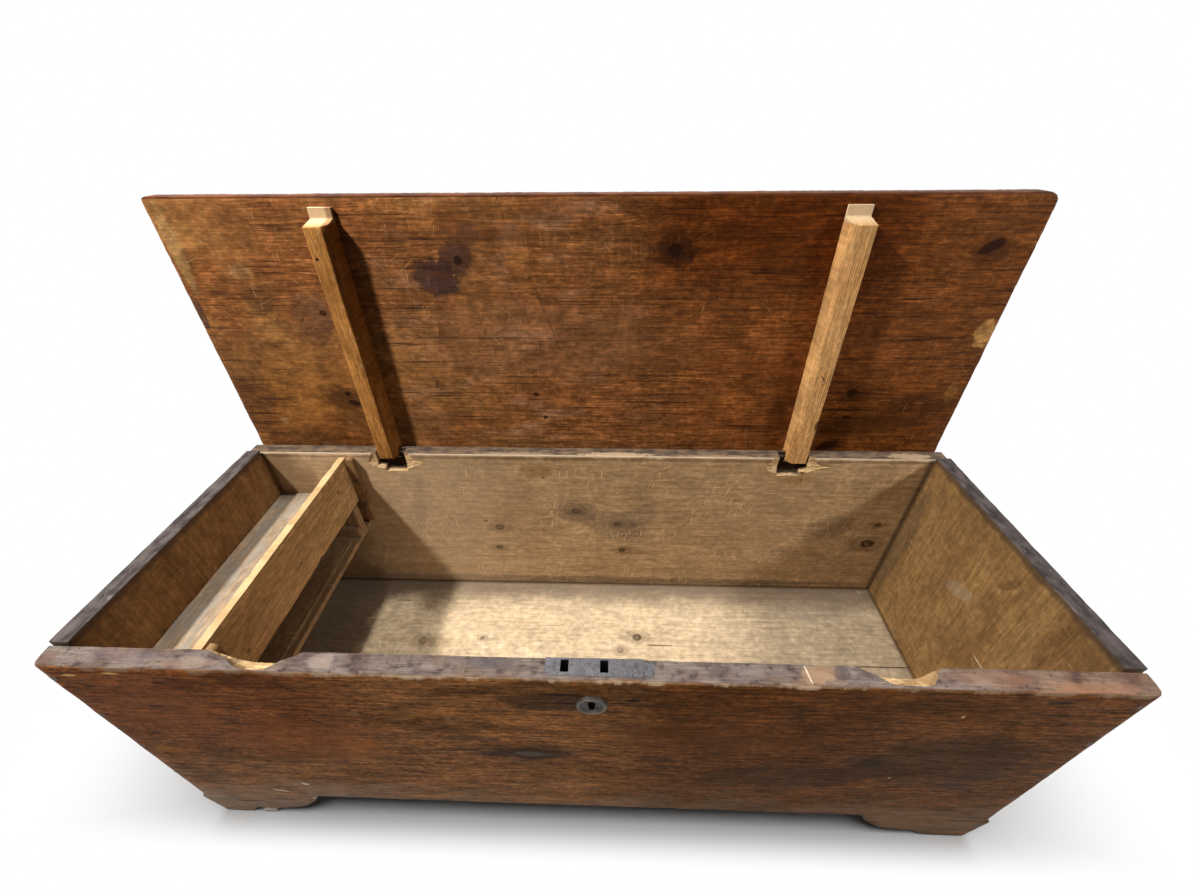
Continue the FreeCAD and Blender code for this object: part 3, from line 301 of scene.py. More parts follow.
BLACK = (0.012, 0.008, 0.006)
SMOKE = (0.05, 0.03, 0.02)
RAW = (0.72, 0.46, 0.2)
PALE = (0.5, 0.36, 0.22)
BONE = (0.78, 0.68, 0.5)


def stained(at):
    """The three parts of the coordinates."""
    x, y, z = at.parts()
    return x, y, z


def arris_of(values):
    """Distance to the nearest arris of a square board, from its distances to its six faces."""
    nearest = [low.math("MINIMUM", high) for low, high in values]
    total = nearest[0] + nearest[1] + nearest[2]
    least = nearest[0].math("MINIMUM", nearest[1]).math("MINIMUM", nearest[2])
    most = nearest[0].math("MAXIMUM", nearest[1]).math("MAXIMUM", nearest[2])
    return total - least - most


def outside_wood(x, across, depth, seed, knots=(), places=(), tone=1.0):
    """The old red-brown stain outside, with short black dents and rubbed places."""
    light = (0.34 * tone, 0.15 * tone, 0.052 * tone)
    dark = (0.11 * tone, 0.045 * tone, 0.016 * tone)
    colour, height, flat, rag, fibre = pine(
        x, across, depth, light, dark, knots, ring=5.0, heart=(200, 60), seed=seed, contrast=0.4,
        lively=1.8)
    dim = blotches(flat, 150, 0.42, 0.68, seed + 1, 2.6)
    colour = (dim * 0.65).mix(colour, (0.07, 0.034, 0.015))
    gold = blotches(flat, 100, 0.52, 0.72, seed + 7, 2.4)
    colour = (gold * 0.6).mix(colour, (0.38, 0.165, 0.045))
    dust = blotches(flat, 34, 0.5, 0.72, seed + 2, 3.0, 5.0)
    colour = (dust * 0.5).mix(colour, (0.28, 0.17, 0.095))
    cloud = blotches(flat, 18, 0.5, 0.7, seed + 8, 2.6, 5.0)
    colour = (cloud * 0.55).mix(colour, (0.05, 0.024, 0.012))
    streak = blotches(flat, 58, 0.615, 0.67, seed + 3, 12.0, 5.0)
    colour = (streak * 0.75).mix(colour, (0.02, 0.012, 0.008))
    flecks = blotches(flat, 20, 0.61, 0.65, seed + 4, 6.5, 5.0)
    colour = (flecks * 0.75).mix(colour, (0.022, 0.013, 0.009))
    nicks = blotches(flat, 11, 0.64, 0.68, seed + 10, 5.0, 4.0)
    colour = (nicks * 0.8).mix(colour, (0.02, 0.011, 0.007))
    grit = blotches(flat, 9, 0.4, 0.7, seed + 11, 1.6, 4.0)
    mottle = blotches(flat, 42, 0.32, 0.68, seed + 12, 1.9, 6.0)
    colour = colour.level(grit.spread(0.78, 1.25)).level(mottle.spread(0.78, 1.2))
    rub = blotches(flat, 26, 0.635, 0.7, seed + 5, 7.0, 5.0)
    colour = (rub * 0.45).mix(colour, (0.42, 0.26, 0.14))
    dents = hairs(flat, -38, 24, 50, 0.12, seed + 6, 0.035)
    colour = (dents * 0.7).mix(colour, (0.025, 0.013, 0.008))
    bright = hairs(flat, 40, 19, 34, 0.1, seed + 9, 0.035)
    colour = (bright * 0.5).mix(colour, (0.4, 0.26, 0.15))
    colour = marks(colour, flat, rag, places)
    rough = (fibre * 0.22 + dim * 0.1 + cloud * 0.12 + 0.3)
    height = height * 1.2 - streak * 0.0003 - flecks * 0.0003 - dents * 0.0003 - cloud * 0.00015
    return colour, rough, height, flat, rag


def inside_wood(x, across, depth, seed, light, dark, knots=(), places=(), scratch=1.0,
                soil=0.35, ring=5.0, heart=(60.0, 45.0), contrast=0.3, lean=84, lively=0.7):
    """Bare planed pine, yellowed, rubbed and scratched across the grain."""
    colour, height, flat, rag, fibre = pine(
        x, across, depth, light, dark, knots, ring=ring, heart=heart, seed=seed, contrast=contrast,
        lively=lively)
    haze = blotches(flat, 150, 0.38, 0.7, seed + 1, 1.6)
    colour = (haze * soil).mix(colour, tuple(c * 0.62 for c in dark))
    bright = blotches(flat, 90, 0.5, 0.75, seed + 2, 2.5)
    colour = (bright * 0.3).mix(colour, tuple(min(c * 1.2, 0.9) for c in light))
    cloud = blotches(flat, 24, 0.45, 0.72, seed + 8, 1.7, 5.0)
    colour = (cloud * 0.3).mix(colour, tuple(c * 0.75 for c in dark))
    colour = marks(colour, flat, rag, places)
    grit = blotches(flat, 12, 0.36, 0.68, seed + 11, 1.3, 4.0)
    mottle = blotches(flat, 50, 0.32, 0.68, seed + 12, 1.5, 5.0)
    colour = colour.level(grit.spread(0.84, 1.13)).level(mottle.spread(0.9, 1.13))
    ticks = hairs(flat, lean, 6, 24, 0.16 * scratch, seed + 3, 0.12)
    ticks = ticks.math("MAXIMUM", hairs(flat, lean - 24, 10, 26, 0.12 * scratch, seed + 4, 0.05))
    ticks = ticks.math("MAXIMUM", hairs(flat, lean + 18, 9, 18, 0.1 * scratch, seed + 9, 0.06))
    ticks = ticks.math("MAXIMUM", hairs(flat, lean - 72, 14, 44, 0.06 * scratch, seed + 5, 0.04))
    patch = blotches(flat, 75, 0.47, 0.6, seed + 7)
    colour = (ticks * patch * 0.8).mix(colour, tuple(min(c * 1.9, 0.9) for c in light))
    cracks = blotches(flat, 40, 0.64, 0.68, seed + 6, 15.0, 5.0)
    colour = (cracks * 0.5).mix(colour, tuple(c * 0.25 for c in dark))
    rough = fibre * 0.2 + 0.5
    height = height - ticks * 0.0002 - cracks * 0.0002
    return colour, rough, height, flat, rag


def worn_edge_wood(along, across, seed, pale=1.0):
    """Rubbed and handled board edges: grey pink wood with dark smudges and pale wear."""
    flat = joined_up(along, across)
    base = blotches(flat, 34, 0.38, 0.64, seed, 1.6, 6.0)
    colour = base.mix((0.31 * pale, 0.24 * pale, 0.2 * pale), (0.17 * pale, 0.115 * pale, 0.1 * pale))
    warm = blotches(flat, 70, 0.48, 0.7, seed + 1, 2.5, 4.0)
    colour = (warm * 0.5).mix(colour, (0.3 * pale, 0.165 * pale, 0.085 * pale))
    light = blotches(flat, 20, 0.56, 0.7, seed + 2, 3.0, 5.0)
    colour = (light * 0.5).mix(colour, (0.4 * pale, 0.31 * pale, 0.225 * pale))
    spots = blotches(flat, 17, 0.54, 0.66, seed + 3, 1.8, 5.0)
    colour = (spots * 0.65).mix(colour, (0.08 * pale, 0.058 * pale, 0.058 * pale))
    specks = blotches(flat, 6, 0.58, 0.66, seed + 4, 1.5, 4.0)
    colour = (specks * 0.55).mix(colour, (0.05, 0.035, 0.03))
    bare = blotches(flat, 9, 0.62, 0.7, seed + 6, 2.0, 5.0)
    colour = (bare * 0.55).mix(colour, (0.5, 0.36, 0.22))
    lines = blotches(flat, 30, 0.4, 0.66, seed + 5, 16.0, 4.0)
    colour = colour.level(lines.spread(0.5, 0.72)).shade((0.92, 0.96, 1.0), 1.0)
    return colour, flat


# ---------------------------------------------------------------- finishes of the boards

CREAM = (0.62, 0.455, 0.275)
STRAW = (0.44, 0.27, 0.125)
TAN = (0.4, 0.245, 0.115)
UMBER = (0.22, 0.115, 0.045)


def front_board_look(root):
    at = own_frame(root)
    x, y, z = at.parts()
    knots = [(-60, 244, 15), (-112, 243, 7), (338, 250, 9)]
    places = [
        (-60, 244, 52, 15, 0, (0.035, 0.02, 0.013), 0.75), (-60, 244, 20, 7, 0, (0.1, 0.085, 0.075), 0.7),
        (-150, 250, 34, 6, 4, (0.045, 0.025, 0.016), 0.7), (-128, 282, 40, 9, 0, (0.05, 0.03, 0.02), 0.5),
        (-25, 376, 60, 20, 0, (0.035, 0.018, 0.01), 0.75), (-20, 392, 22, 2.2, 0, BLACK, 0.9),
        (-18, 374, 34, 1.8, 0, BLACK, 0.9), (44, 377, 14, 1.8, 0, BLACK, 0.9), (70, 372, 26, 3, 0, BLACK, 0.6),
        (56, 383, 9, 3.5, 0, BLACK, 0.9), (-295, 311, 17, 2.0, -42, BLACK, 0.95),
        (-240, 372, 26, 0.9, -40, (0.04, 0.02, 0.012), 0.8), (90, 240, 24, 10, 0, (0.04, 0.025, 0.018), 0.55),
        (250, 200, 110, 34, 3, (0.04, 0.026, 0.02), 0.5), (420, 250, 100, 70, 0, (0.055, 0.035, 0.025), 0.5),
        (-470, 330, 60, 60, 0, (0.2, 0.085, 0.03), 0.35), (-330, 260, 90, 60, 0, (0.25, 0.1, 0.035), 0.3),
        (120, 300, 140, 30, 0, (0.2, 0.085, 0.025), 0.35),
        (393, 368, 2.2, 2.2, 0, (0.9, 0.85, 0.75), 1.0), (374, 206, 1.8, 1.8, 0, (0.9, 0.85, 0.75), 1.0),
        (-527, 405, 8, 2.4, 0, BONE, 0.9), (-480, 411, 9, 1.8, 0, BONE, 0.9), (-518, 383, 6, 2, 0, BLACK, 0.8),
        (-438, 394, 9, 2, 0, BLACK, 0.8), (-470, 340, 10, 3, 0, BLACK, 0.7), (-410, 300, 8, 2, -10, BLACK, 0.6),
        (-240, 340, 4, 3, 0, BLACK, 0.7), (470, 402, 14, 3.2, 6, BLACK, 0.8), (455, 190, 30, 5, 4, BLACK, 0.55),
    ]
    outside, rough, height, flat, rag = outside_wood(x, z, y, 1.0, knots, places)
    low = (z + blotches(flat, 70, 0.3, 0.7, 9.0, 2.0) * 60).step(185, 70)
    outside = outside.shade((0.91, 0.84, 0.7), 1.0).shade((0.55, 0.47, 0.3), x.step(-30, 130))
    outside = outside.shade((0.9, 0.82, 0.66), x.step(40, 120) * x.step(380, 260) * z.step(120, 200))
    outside = outside.shade((0.79, 0.58, 0.32), x.step(-180, -330) * z.step(190, 270))
    rubbed = low * blotches(flat, 40, 0.34, 0.62, 9.5, 5.0, 5.0).spread(0.5, 1.15)
    outside = (rubbed * 0.38).mix(outside, (0.27, 0.19, 0.125))
    outside = (rubbed * x.step(-150, -330) * 0.4).mix(outside, (0.29, 0.22, 0.175))
    outside = marks(outside, flat, rag, [
        (-479, 8, 14, 9, 0, (0.52, 0.48, 0.4), 0.95), (-490, 46, 24, 2.6, 2, (0.06, 0.038, 0.03), 0.8),
        (-438, 57, 19, 2.4, -3, (0.065, 0.04, 0.028), 0.75), (-537, 60, 20, 2.4, 0, (0.36, 0.31, 0.27), 0.6),
        (-389, 66, 4, 2, 0, BONE, 0.8), (-383, 120, 5, 3.4, -40, BONE, 0.7), (-428, 92, 13, 3, -14, BONE, 0.5),
        (-488, 122, 22, 2.4, -5, (0.05, 0.03, 0.02), 0.7),
    ])
    inside, rough_in, height_in, flat_in, rag_in = inside_wood(x, z, y, 2.0, TAN, UMBER)
    top, flat_top = worn_edge_wood(x, y, 3.0)
    rag_top = (flat_top.node("ShaderNodeTexNoise", {}, {
        "Vector": flat_top, "Scale": 0.13, "Detail": 4.0, "Roughness": 0.65}) - 0.5) * 2.6
    top = marks(top, flat_top, rag_top, [
        (-262, 12, 14, 9, 0, (0.32, 0.25, 0.21), 0.4), (-548, 10, 10, 8, 0, (0.13, 0.08, 0.06), 0.6),
        (240, 13, 20, 10, 12, (0.42, 0.27, 0.15), 0.4), (228, 12, 1.0, 9, 8, BONE, 0.6),
        (262, 14, 9, 7, 30, (0.06, 0.05, 0.05), 0.6), (285, 12, 14, 5, 10, (0.08, 0.06, 0.055), 0.5),
        (140, 12, 13, 6, 20, (0.07, 0.055, 0.055), 0.6), (500, 6, 44, 6, 0, (0.36, 0.22, 0.14), 0.3),
        (525, 17, 14, 4, 0, (0.1, 0.07, 0.06), 0.6), (-90, 15, 24, 6, 0, (0.1, 0.085, 0.09), 0.5),
        (-400, 8, 34, 6, 0, (0.3, 0.2, 0.145), 0.3), (-340, 16, 30, 6, 0, (0.09, 0.07, 0.07), 0.45),
        (-470, 14, 40, 7, 0, (0.13, 0.1, 0.105), 0.45), (400, 12, 44, 7, 0, (0.27, 0.16, 0.105), 0.3),
    ])
    top = top.shade((0.98, 0.8, 0.66), x.step(340, 460) * 0.9)
    edge = blotches(flat_top, 22, 0.42, 0.6, 5.0, 0.6, 4.0)
    is_top = z.step(420.3, 421.3)
    lip = (z + edge * 3.5).step(417.0, 419.0) * (1 - is_top)
    outside = (lip * edge.spread(0.25, 0.9)).mix(outside, (x.step(-330, -200) * x.step(320, 230)).mix((0.2, 0.13, 0.08), (0.42, 0.31, 0.2)))
    is_in = y.step(20.8, 21.6)
    wood = is_in.mix(outside, inside)
    wood = is_top.mix(wood, top)
    rough = is_top.spread(0.42, 0.62).math("MAXIMUM", rough)
    return wood, rough, height, 0.0


def back_board_look(root):
    at = own_frame(root)
    x, y, z = at.parts()
    knots = [(-167, 255, 6.5), (-174, 200, 5), (-27, 298, 6), (45, 267, 4.5), (55, 198, 5),
             (495, 226, 9), (498, 275, 4)]
    places = [
        (-190, 271, 3.5, 2.5, 0, SMOKE, 0.9), (58, 238, 2.5, 2.0, 0, SMOKE, 0.9), (-27, 296, 40, 26, 0, (0.12, 0.085, 0.06), 0.45),
        (45, 262, 60, 34, -20, (0.13, 0.095, 0.07), 0.4), (80, 285, 40, 24, 30, (0.15, 0.11, 0.08), 0.4),
        (-300, 310, 60, 14, 80, (0.17, 0.11, 0.06), 0.35), (-90, 390, 30, 16, 0, (0.26, 0.15, 0.05), 0.4),
        (330, 380, 34, 12, 0, (0.3, 0.16, 0.04), 0.4), (340, 392, 2.5, 2.5, 0, SMOKE, 0.8), (342, 377, 1.6, 6, 0, SMOKE, 0.6),
        (-80, 375, 2.5, 1.8, 0, SMOKE, 0.8), (420, 268, 40, 30, 20, (0.1, 0.06, 0.03), 0.4),
        # the long dark band at z 110 along the foot of the wall is painted shade
        (0, 110, 560, 9, 0, (0.1, 0.07, 0.045), 0.5),
    ]
    inside, rough, height, flat, rag = inside_wood(
        x, z, y * -1.0, 11.0, (0.49, 0.33, 0.175), (0.3, 0.175, 0.075), knots, places, 1.7, 0.3, 9.0,
        lively=0.5)
    outside, rough_out, height_out, flat_out, rag_out = outside_wood(x, z, y, 12.0, [(210, 300, 12), (-330, 180, 10)])
    flat_top = joined_up(x, y)
    grey = blotches(flat_top, 26, 0.38, 0.62, 13.0, 2.6, 5.0)
    top = grey.mix((0.2, 0.135, 0.085), (0.075, 0.056, 0.044))
    rag_top = (flat_top.node("ShaderNodeTexNoise", {}, {"Vector": flat_top, "Scale": 0.14, "Detail": 3.0}) - 0.5) * 2.4
    top = marks(top, flat_top, rag_top, [
        (40, 352, 60, 6, 0, (0.5, 0.36, 0.22), 0.75), (-120, 351, 60, 5, 0, (0.4, 0.29, 0.18), 0.5),
        (505, 356, 34, 7, 0, (0.46, 0.33, 0.2), 0.8), (200, 350, 60, 4, 0, (0.38, 0.27, 0.17), 0.5),
    ])
    # painted shade: the wall is darker at the left, where the till's shadow falls
    painted_till_shade = (x + z * 0.25 + blotches(flat, 70, 0.3, 0.7, 17.0) * 40).step(-330, -390)
    inside = (x.step(-60, -280) * 0.26).mix(inside, (0.6, 0.46, 0.31))
    inside = inside.level(x.step(-60, -280) * 0.14 + 1.06)
    inside = (painted_till_shade * 0.6).mix(inside, (0.13, 0.07, 0.028))
    # painted shade: the wall is darker along its foot and in its two end corners
    corner_shade_and_joint = z.step(103, 98).math("MAXIMUM", abs(x).step(528, 535))
    inside = (corner_shade_and_joint * 0.7).mix(inside, (0.07, 0.04, 0.022))
    is_out = y.step(367.4, 368.2)
    is_top = z.step(420.2, 421.2)
    under = (abs(z - 415.5) + grey * 2).step(5, 1.5) * y.step(349, 347.5)
    wood = (under * 0.55).mix(inside, (0.085, 0.045, 0.02))
    wood = is_out.mix(wood, outside)
    wood = is_top.mix(wood, top)
    arris = (z + grey * 1.2).step(419.2, 420.2) * (y - grey).step(348.6, 347.9)
    wood = (arris * 0.85).mix(wood, (0.55, 0.42, 0.28))
    return wood, rough, height, 0.0


def end_board_look(side):
    def look(root):
        at = own_frame(root)
        x, y, z = at.parts()
        outward = x * side
        seed = 21.0 + side
        if side > 0:
            places = [(200, 300, 26, 12, 30, (0.34, 0.27, 0.2), 0.4), (330, 250, 130, 18, 88, (0.13, 0.09, 0.055), 0.5),
                      (100, 150, 70, 60, 0, (0.4, 0.23, 0.07), 0.4), (60, 390, 60, 24, 70, (0.1, 0.05, 0.02), 0.45),
                      (150, 380, 20, 6, 60, (0.1, 0.05, 0.02), 0.5), (120, 250, 1.2, 16, 88, BONE, 0.6)]
            light, dark = (0.36, 0.215, 0.085), (0.2, 0.105, 0.038)
        else:
            places = [(200, 260, 60, 60, 0, (0.1, 0.055, 0.025), 0.4)]
            light, dark = (0.33, 0.195, 0.085), (0.19, 0.1, 0.04)
        flipped = [(v, u, rv, ru, t, c, k) for u, v, ru, rv, t, c, k in places]
        inside, rough, height, flat, rag = inside_wood(
            z, y, x, seed, light, dark, (), flipped, 1.0, 0.4, 8.0, (180.0, 60.0))
        outside, rough_out, height_out, flat_out, rag_out = outside_wood(
            z, y, x, seed + 5, [(250, 120, 10), (150, 260, 8)])
        flat_top = joined_up(y, x)
        grey = blotches(flat_top, 22, 0.3, 0.7, seed + 2, 2.0, 4.0)
        top = grey.mix((0.105, 0.085, 0.08), (0.028, 0.022, 0.021))
        pale = blotches(flat_top, 14, 0.62, 0.74, seed + 3, 2.0, 4.0)
        top = (pale * 0.6).mix(top, (0.22, 0.19, 0.18))
        is_out = outward.step(558.4, 559.2)
        is_top = z.step(425.0, 426.0)
        # painted shade: the inner face is darker along its foot and in its back and front corners
        corner_shade_and_joint = z.step(104, 98).math("MAXIMUM", y.step(337, 345)).math("MAXIMUM", y.step(30, 24))
        inside = (corner_shade_and_joint * 0.6).mix(inside, (0.08, 0.045, 0.02))
        rim = (z + grey * 4).step(416, 424) * (1 - is_out)
        wood = (rim * 0.75).mix(inside, (0.055, 0.035, 0.024))
        wood = is_out.mix(wood, outside)
        wood = is_top.mix(wood, top)
        return wood, rough, height, 0.0
    return look


def floor_look(root):
    at = own_frame(root)
    x, y, z = at.parts()
    knots = [(82, 236, 6), (52, 212, 4.5), (-300, 221, 6), (-195, 228, 3)]
    places = [
        (-300, 221, 90, 5, 0, (0.35, 0.24, 0.13), 0.5), (55, 236, 7, 5, 0, (0.3, 0.22, 0.15), 0.6),
        (120, 222, 24, 1.6, 0, (0.12, 0.07, 0.04), 0.8), (80, 196, 20, 2, 0, (0.16, 0.1, 0.06), 0.7),
        (200, 90, 90, 20, 10, (0.42, 0.36, 0.22), 0.35), (-360, 300, 18, 1.3, 0, BLACK, 0.6),
        # the long dark marks at y 335 and 338 on this line and the next are painted shadow of the lid
        (420, 300, 90, 24, 8, (0.3, 0.24, 0.17), 0.4), (-200, 335, 200, 14, 0, (0.34, 0.26, 0.18), 0.5),
        (250, 338, 260, 9, 0, (0.28, 0.21, 0.14), 0.5), (516, 338, 3, 3, 0, (0.95, 0.93, 0.9), 1.0),
        (430, 342, 2.5, 2, 0, BLACK, 0.9),
    ]
    wood, rough, height, flat, rag = inside_wood(
        x, y, z, 31.0, (0.63, 0.495, 0.325), (0.42, 0.305, 0.18), knots, places, 0.4, 0.22, 7.0,
        (60.0, 40.0), lively=0.4)
    # painted shade: the floor under the till is darker
    painted_till_shade = (x + blotches(flat, 60, 0.3, 0.7, 36.0) * 26).step(-384, -408)
    wood = (painted_till_shade * 0.72).mix(wood, (0.12, 0.085, 0.05))
    # painted shadow: the floor is darker towards the right end, where the right end board's shadow falls
    wood = wood.shade((0.74, 0.76, 0.8), x.step(150, 420) * 0.9)
    # painted shadow of the open lid along the back of the floor
    painted_lid_shadow = (y + blotches(flat, 60, 0.3, 0.7, 37.0, 2.0) * 18).step(292, 344)
    wood = (painted_lid_shadow * 0.72).mix(wood, (0.19, 0.14, 0.098))
    # painted shade along the back and side corners, and a real dark joint between the two bottom boards
    corner_shade_and_joint = y.step(340, 345.5).math("MAXIMUM", abs(x).step(531, 536)).math(
        "MAXIMUM", abs(y - 193.3).step(1.4, 0.5) * 0.6)
    wood = (corner_shade_and_joint * 0.75).mix(wood, (0.1, 0.06, 0.035))
    under = z.step(94, 92)
    wood = under.mix(wood, (0.2, 0.13, 0.08))
    return wood, rough + 0.08, height, 0.0


def lid_look(root):
    at = own_frame(root, True)
    x, a, b = at.parts()
    up = a * -1.0 + 9.0  # height above the tops of the boards with the lid open
    knots = [(112, 327, 8), (-171, 315, 6.5), (506, 329, 8), (-378, 100, 7), (395, 118, 6)]
    cores = [(112, 327, 8, 9, 0), (-171, 315, 6, 7, 30), (506, 331, 17, 7, 28), (-84, 112, 5, 4.5, 0),
             (-72, 70, 4, 3.5, 0), (-376, 242, 6, 4.5, 0), (-381, 110, 5, 4.5, 0), (-374, 94, 10, 5, -20),
             (395, 120, 8, 6, 0), (398, 75, 7, 3.5, 0), (383, 20, 20, 8, 22)]
    places = [
        (-205, 292, 34, 26, -20, (0.055, 0.033, 0.034), 0.92), (-176, 316, 26, 24, 40, (0.06, 0.032, 0.03), 0.8),
        (-160, 340, 26, 16, 50, (0.1, 0.05, 0.04), 0.6), (112, 327, 27, 24, 0, (0.04, 0.02, 0.015), 0.7),
        (-376, 242, 14, 30, 0, (0.14, 0.075, 0.05), 0.5), (-395, 235, 26, 40, 10, (0.17, 0.095, 0.06), 0.5),
        (-385, 100, 36, 22, 0, (0.1, 0.05, 0.03), 0.6), (-462, 262, 22, 22, 0, (0.13, 0.07, 0.03), 0.5),
        (-470, 300, 18, 10, 0, (0.55, 0.36, 0.15), 0.45), (-545, 330, 10, 60, 0, (0.5, 0.34, 0.15), 0.55),
        (-553, 240, 6, 26, 0, (0.07, 0.045, 0.035), 0.8), (-530, 120, 30, 60, 0, (0.13, 0.07, 0.035), 0.5),
        (-500, 60, 8, 5, 0, PALE, 0.7), (-445, 12, 7, 6, 20, PALE, 0.7), (-480, 20, 60, 30, 0, (0.1, 0.055, 0.03), 0.5),
        (549, 213, 16, 22, 10, (0.62, 0.42, 0.2), 0.95), (540, 120, 8, 20, 0, (0.45, 0.3, 0.15), 0.6),
        (470, 206, 60, 3, 4, BLACK, 0.6), (480, 176, 50, 2, 0, BLACK, 0.5), (500, 100, 60, 16, 0, (0.035, 0.02, 0.012), 0.55),
        (430, 60, 100, 18, 4, (0.04, 0.022, 0.012), 0.5), (300, 120, 60, 40, 0, (0.12, 0.055, 0.02), 0.4),
        (-100, 200, 200, 60, 0, (0.36, 0.19, 0.1), 0.35), (-60, 240, 1.2, 60, 18, (0.07, 0.035, 0.02), 0.5),
        (60, 190, 120, 50, 0, (0.2, 0.095, 0.035), 0.4), (240, 300, 60, 40, 40, (0.26, 0.13, 0.05), 0.35),
        (-330, 60, 90, 20, 0, (0.16, 0.085, 0.045), 0.4), (-235, 130, 8, 3, 60, BLACK, 0.5),
        (-175, 205, 120, 1.0, 0, (0.05, 0.025, 0.015), 0.7), (120, 204, 240, 0.8, 1, (0.05, 0.025, 0.015), 0.5),
        (60, 60, 120, 1.2, -2, BLACK, 0.5), (0, 345, 500, 8, 0, (0.12, 0.055, 0.02), 0.4),
    ]
    light, dark = (0.42, 0.185, 0.062), (0.15, 0.055, 0.018)
    colour, height, flat, rag, fibre = pine(x, up, b, light, dark, knots, ring=4.2, heart=(40, 40),
                                            seed=41.0, wander=7.0, contrast=0.36, lively=1.5)
    gold = blotches(flat, 170, 0.36, 0.6, 42.0, 0.9, 4.0)
    colour = (gold * 0.6 * x.step(60, -380)).mix(colour, (0.52, 0.29, 0.1))
    rust = blotches(flat, 140, 0.45, 0.7, 43.0, 1.4)
    colour = (rust * 0.45).mix(colour, (0.26, 0.095, 0.032))
    # the lid darkens towards its right: painted shade of the lamp's falloff, with random darker blotches
    dim = (x.step(180, 560) * 0.34 + blotches(flat, 100, 0.42, 0.7, 44.0, 1.5) * 0.35)
    colour = dim.mix(colour, (0.115, 0.055, 0.027))
    rose = blotches(flat, 90, 0.5, 0.72, 45.0, 2.2, 6.0) * (x + 120).math("ABSOLUTE").step(260, 60)
    colour = (rose * 0.5).mix(colour, (0.5, 0.31, 0.215))
    colour = marks(colour, flat, rag * 1.5, places)
    cloud = blotches(flat, 22, 0.45, 0.68, 57.0, 1.5, 6.0)
    colour = (cloud * 0.5).mix(colour, (0.09, 0.036, 0.014))
    grit = blotches(flat, 10, 0.4, 0.7, 62.0, 1.5, 4.0)
    colour = colour.level(grit.spread(0.8, 1.22))
    mottle = blotches(flat, 46, 0.32, 0.68, 64.0, 1.7, 6.0)
    colour = colour.level(mottle.spread(0.76, 1.24))
    saw = hairs(flat, 90, 3.2, 40, 0.4, 46.0, 0.25, 0.2) * blotches(flat, 80, 0.48, 0.62, 47.0)
    colour = (saw * 0.22).mix(colour, (0.6, 0.4, 0.2))
    ghost = hairs(flat, 90, 22, 90, 0.35, 58.0, 0.5, 0.4)
    colour = (ghost * 0.3).mix(colour, (0.1, 0.045, 0.02))
    ticks = hairs(flat, 84, 6, 20, 0.1, 48.0, 0.08, 0.5)
    ticks = ticks.math("MAXIMUM", hairs(flat, -52, 15, 36, 0.08, 49.0, 0.035))
    ticks = ticks.math("MAXIMUM", hairs(flat, 30, 15, 30, 0.07, 59.0, 0.035))
    ticks = ticks.math("MAXIMUM", hairs(flat, 4, 11, 22, 0.06, 50.0, 0.05))
    area = blotches(flat, 120, 0.44, 0.64, 51.0)
    colour = (ticks * area * 0.8).mix(colour, (0.66, 0.44, 0.22))
    curl = flat.node("ShaderNodeTexNoise", {}, {
        "Vector": flat.times(1, 1.5, 1), "Scale": 0.028, "Detail": 3.0, "Distortion": 2.2})
    squiggles = abs(curl - 0.5).step(0.008, 0.002) * blotches(flat, 90, 0.5, 0.6, 52.0)
    colour = (squiggles * 0.8).mix(colour, (0.035, 0.015, 0.008))
    for u, v, reach_u, reach_v, tilt in cores:
        core = spot(flat, rag * 0.7, u, v, reach_u, reach_v, tilt)
        colour = (core * 0.9).mix(colour, (0.022, 0.01, 0.007))
    cracks = blotches(flat, 150, 0.575, 0.615, 53.0, 42.0, 5.0) * blotches(flat, 160, 0.42, 0.6, 60.0)
    colour = (cracks * 0.8).mix(colour, (0.03, 0.013, 0.007))
    grime = blotches(flat, 55, 0.42, 0.72, 61.0, 2.0, 5.0)
    colour = (grime * 0.35).mix(colour, (0.1, 0.04, 0.016))
    # painted shade: the right of the lid is darker and less blue, as the lamp's light falls off
    far = x.step(0, 300)
    colour = colour.shade((0.98, 0.87, 0.78), 1.0).shade((0.87, 0.74, 0.56), far)
    colour = colour.shade((0.56, 0.42, 0.27), x.step(20, 120) * x.step(480, 350) * up.step(200, 335))
    colour = colour.shade((0.78, 0.72, 0.55), x.step(290, 380) * up.step(190, 90))
    colour = colour.shade((0.84, 0.76, 0.64), x.step(-300, -400) * up.step(220, 100))
    grey = blotches(flat, 60, 0.4, 0.65, 54.0, 3.0, 4.0)
    edge = grey.mix((0.13, 0.042, 0.015), (0.06, 0.019, 0.007))
    edge = (blotches(flat, 9, 0.68, 0.73, 55.0, 1.0) * 0.8).mix(edge, (0.75, 0.6, 0.42))
    wood = a.step(-380.6, -382.0).mix(colour, edge)
    return wood, fibre * 0.2 + 0.36, height - cracks * 0.0003, 0.0


def lid_outside_look(root):
    x, a, b = own_frame(root, True).parts()
    wood, rough, height, flat, rag = outside_wood(x, a, b, 56.0, [(-300, -120, 12), (220, -250, 10)])
    return wood, rough, height, 0.0


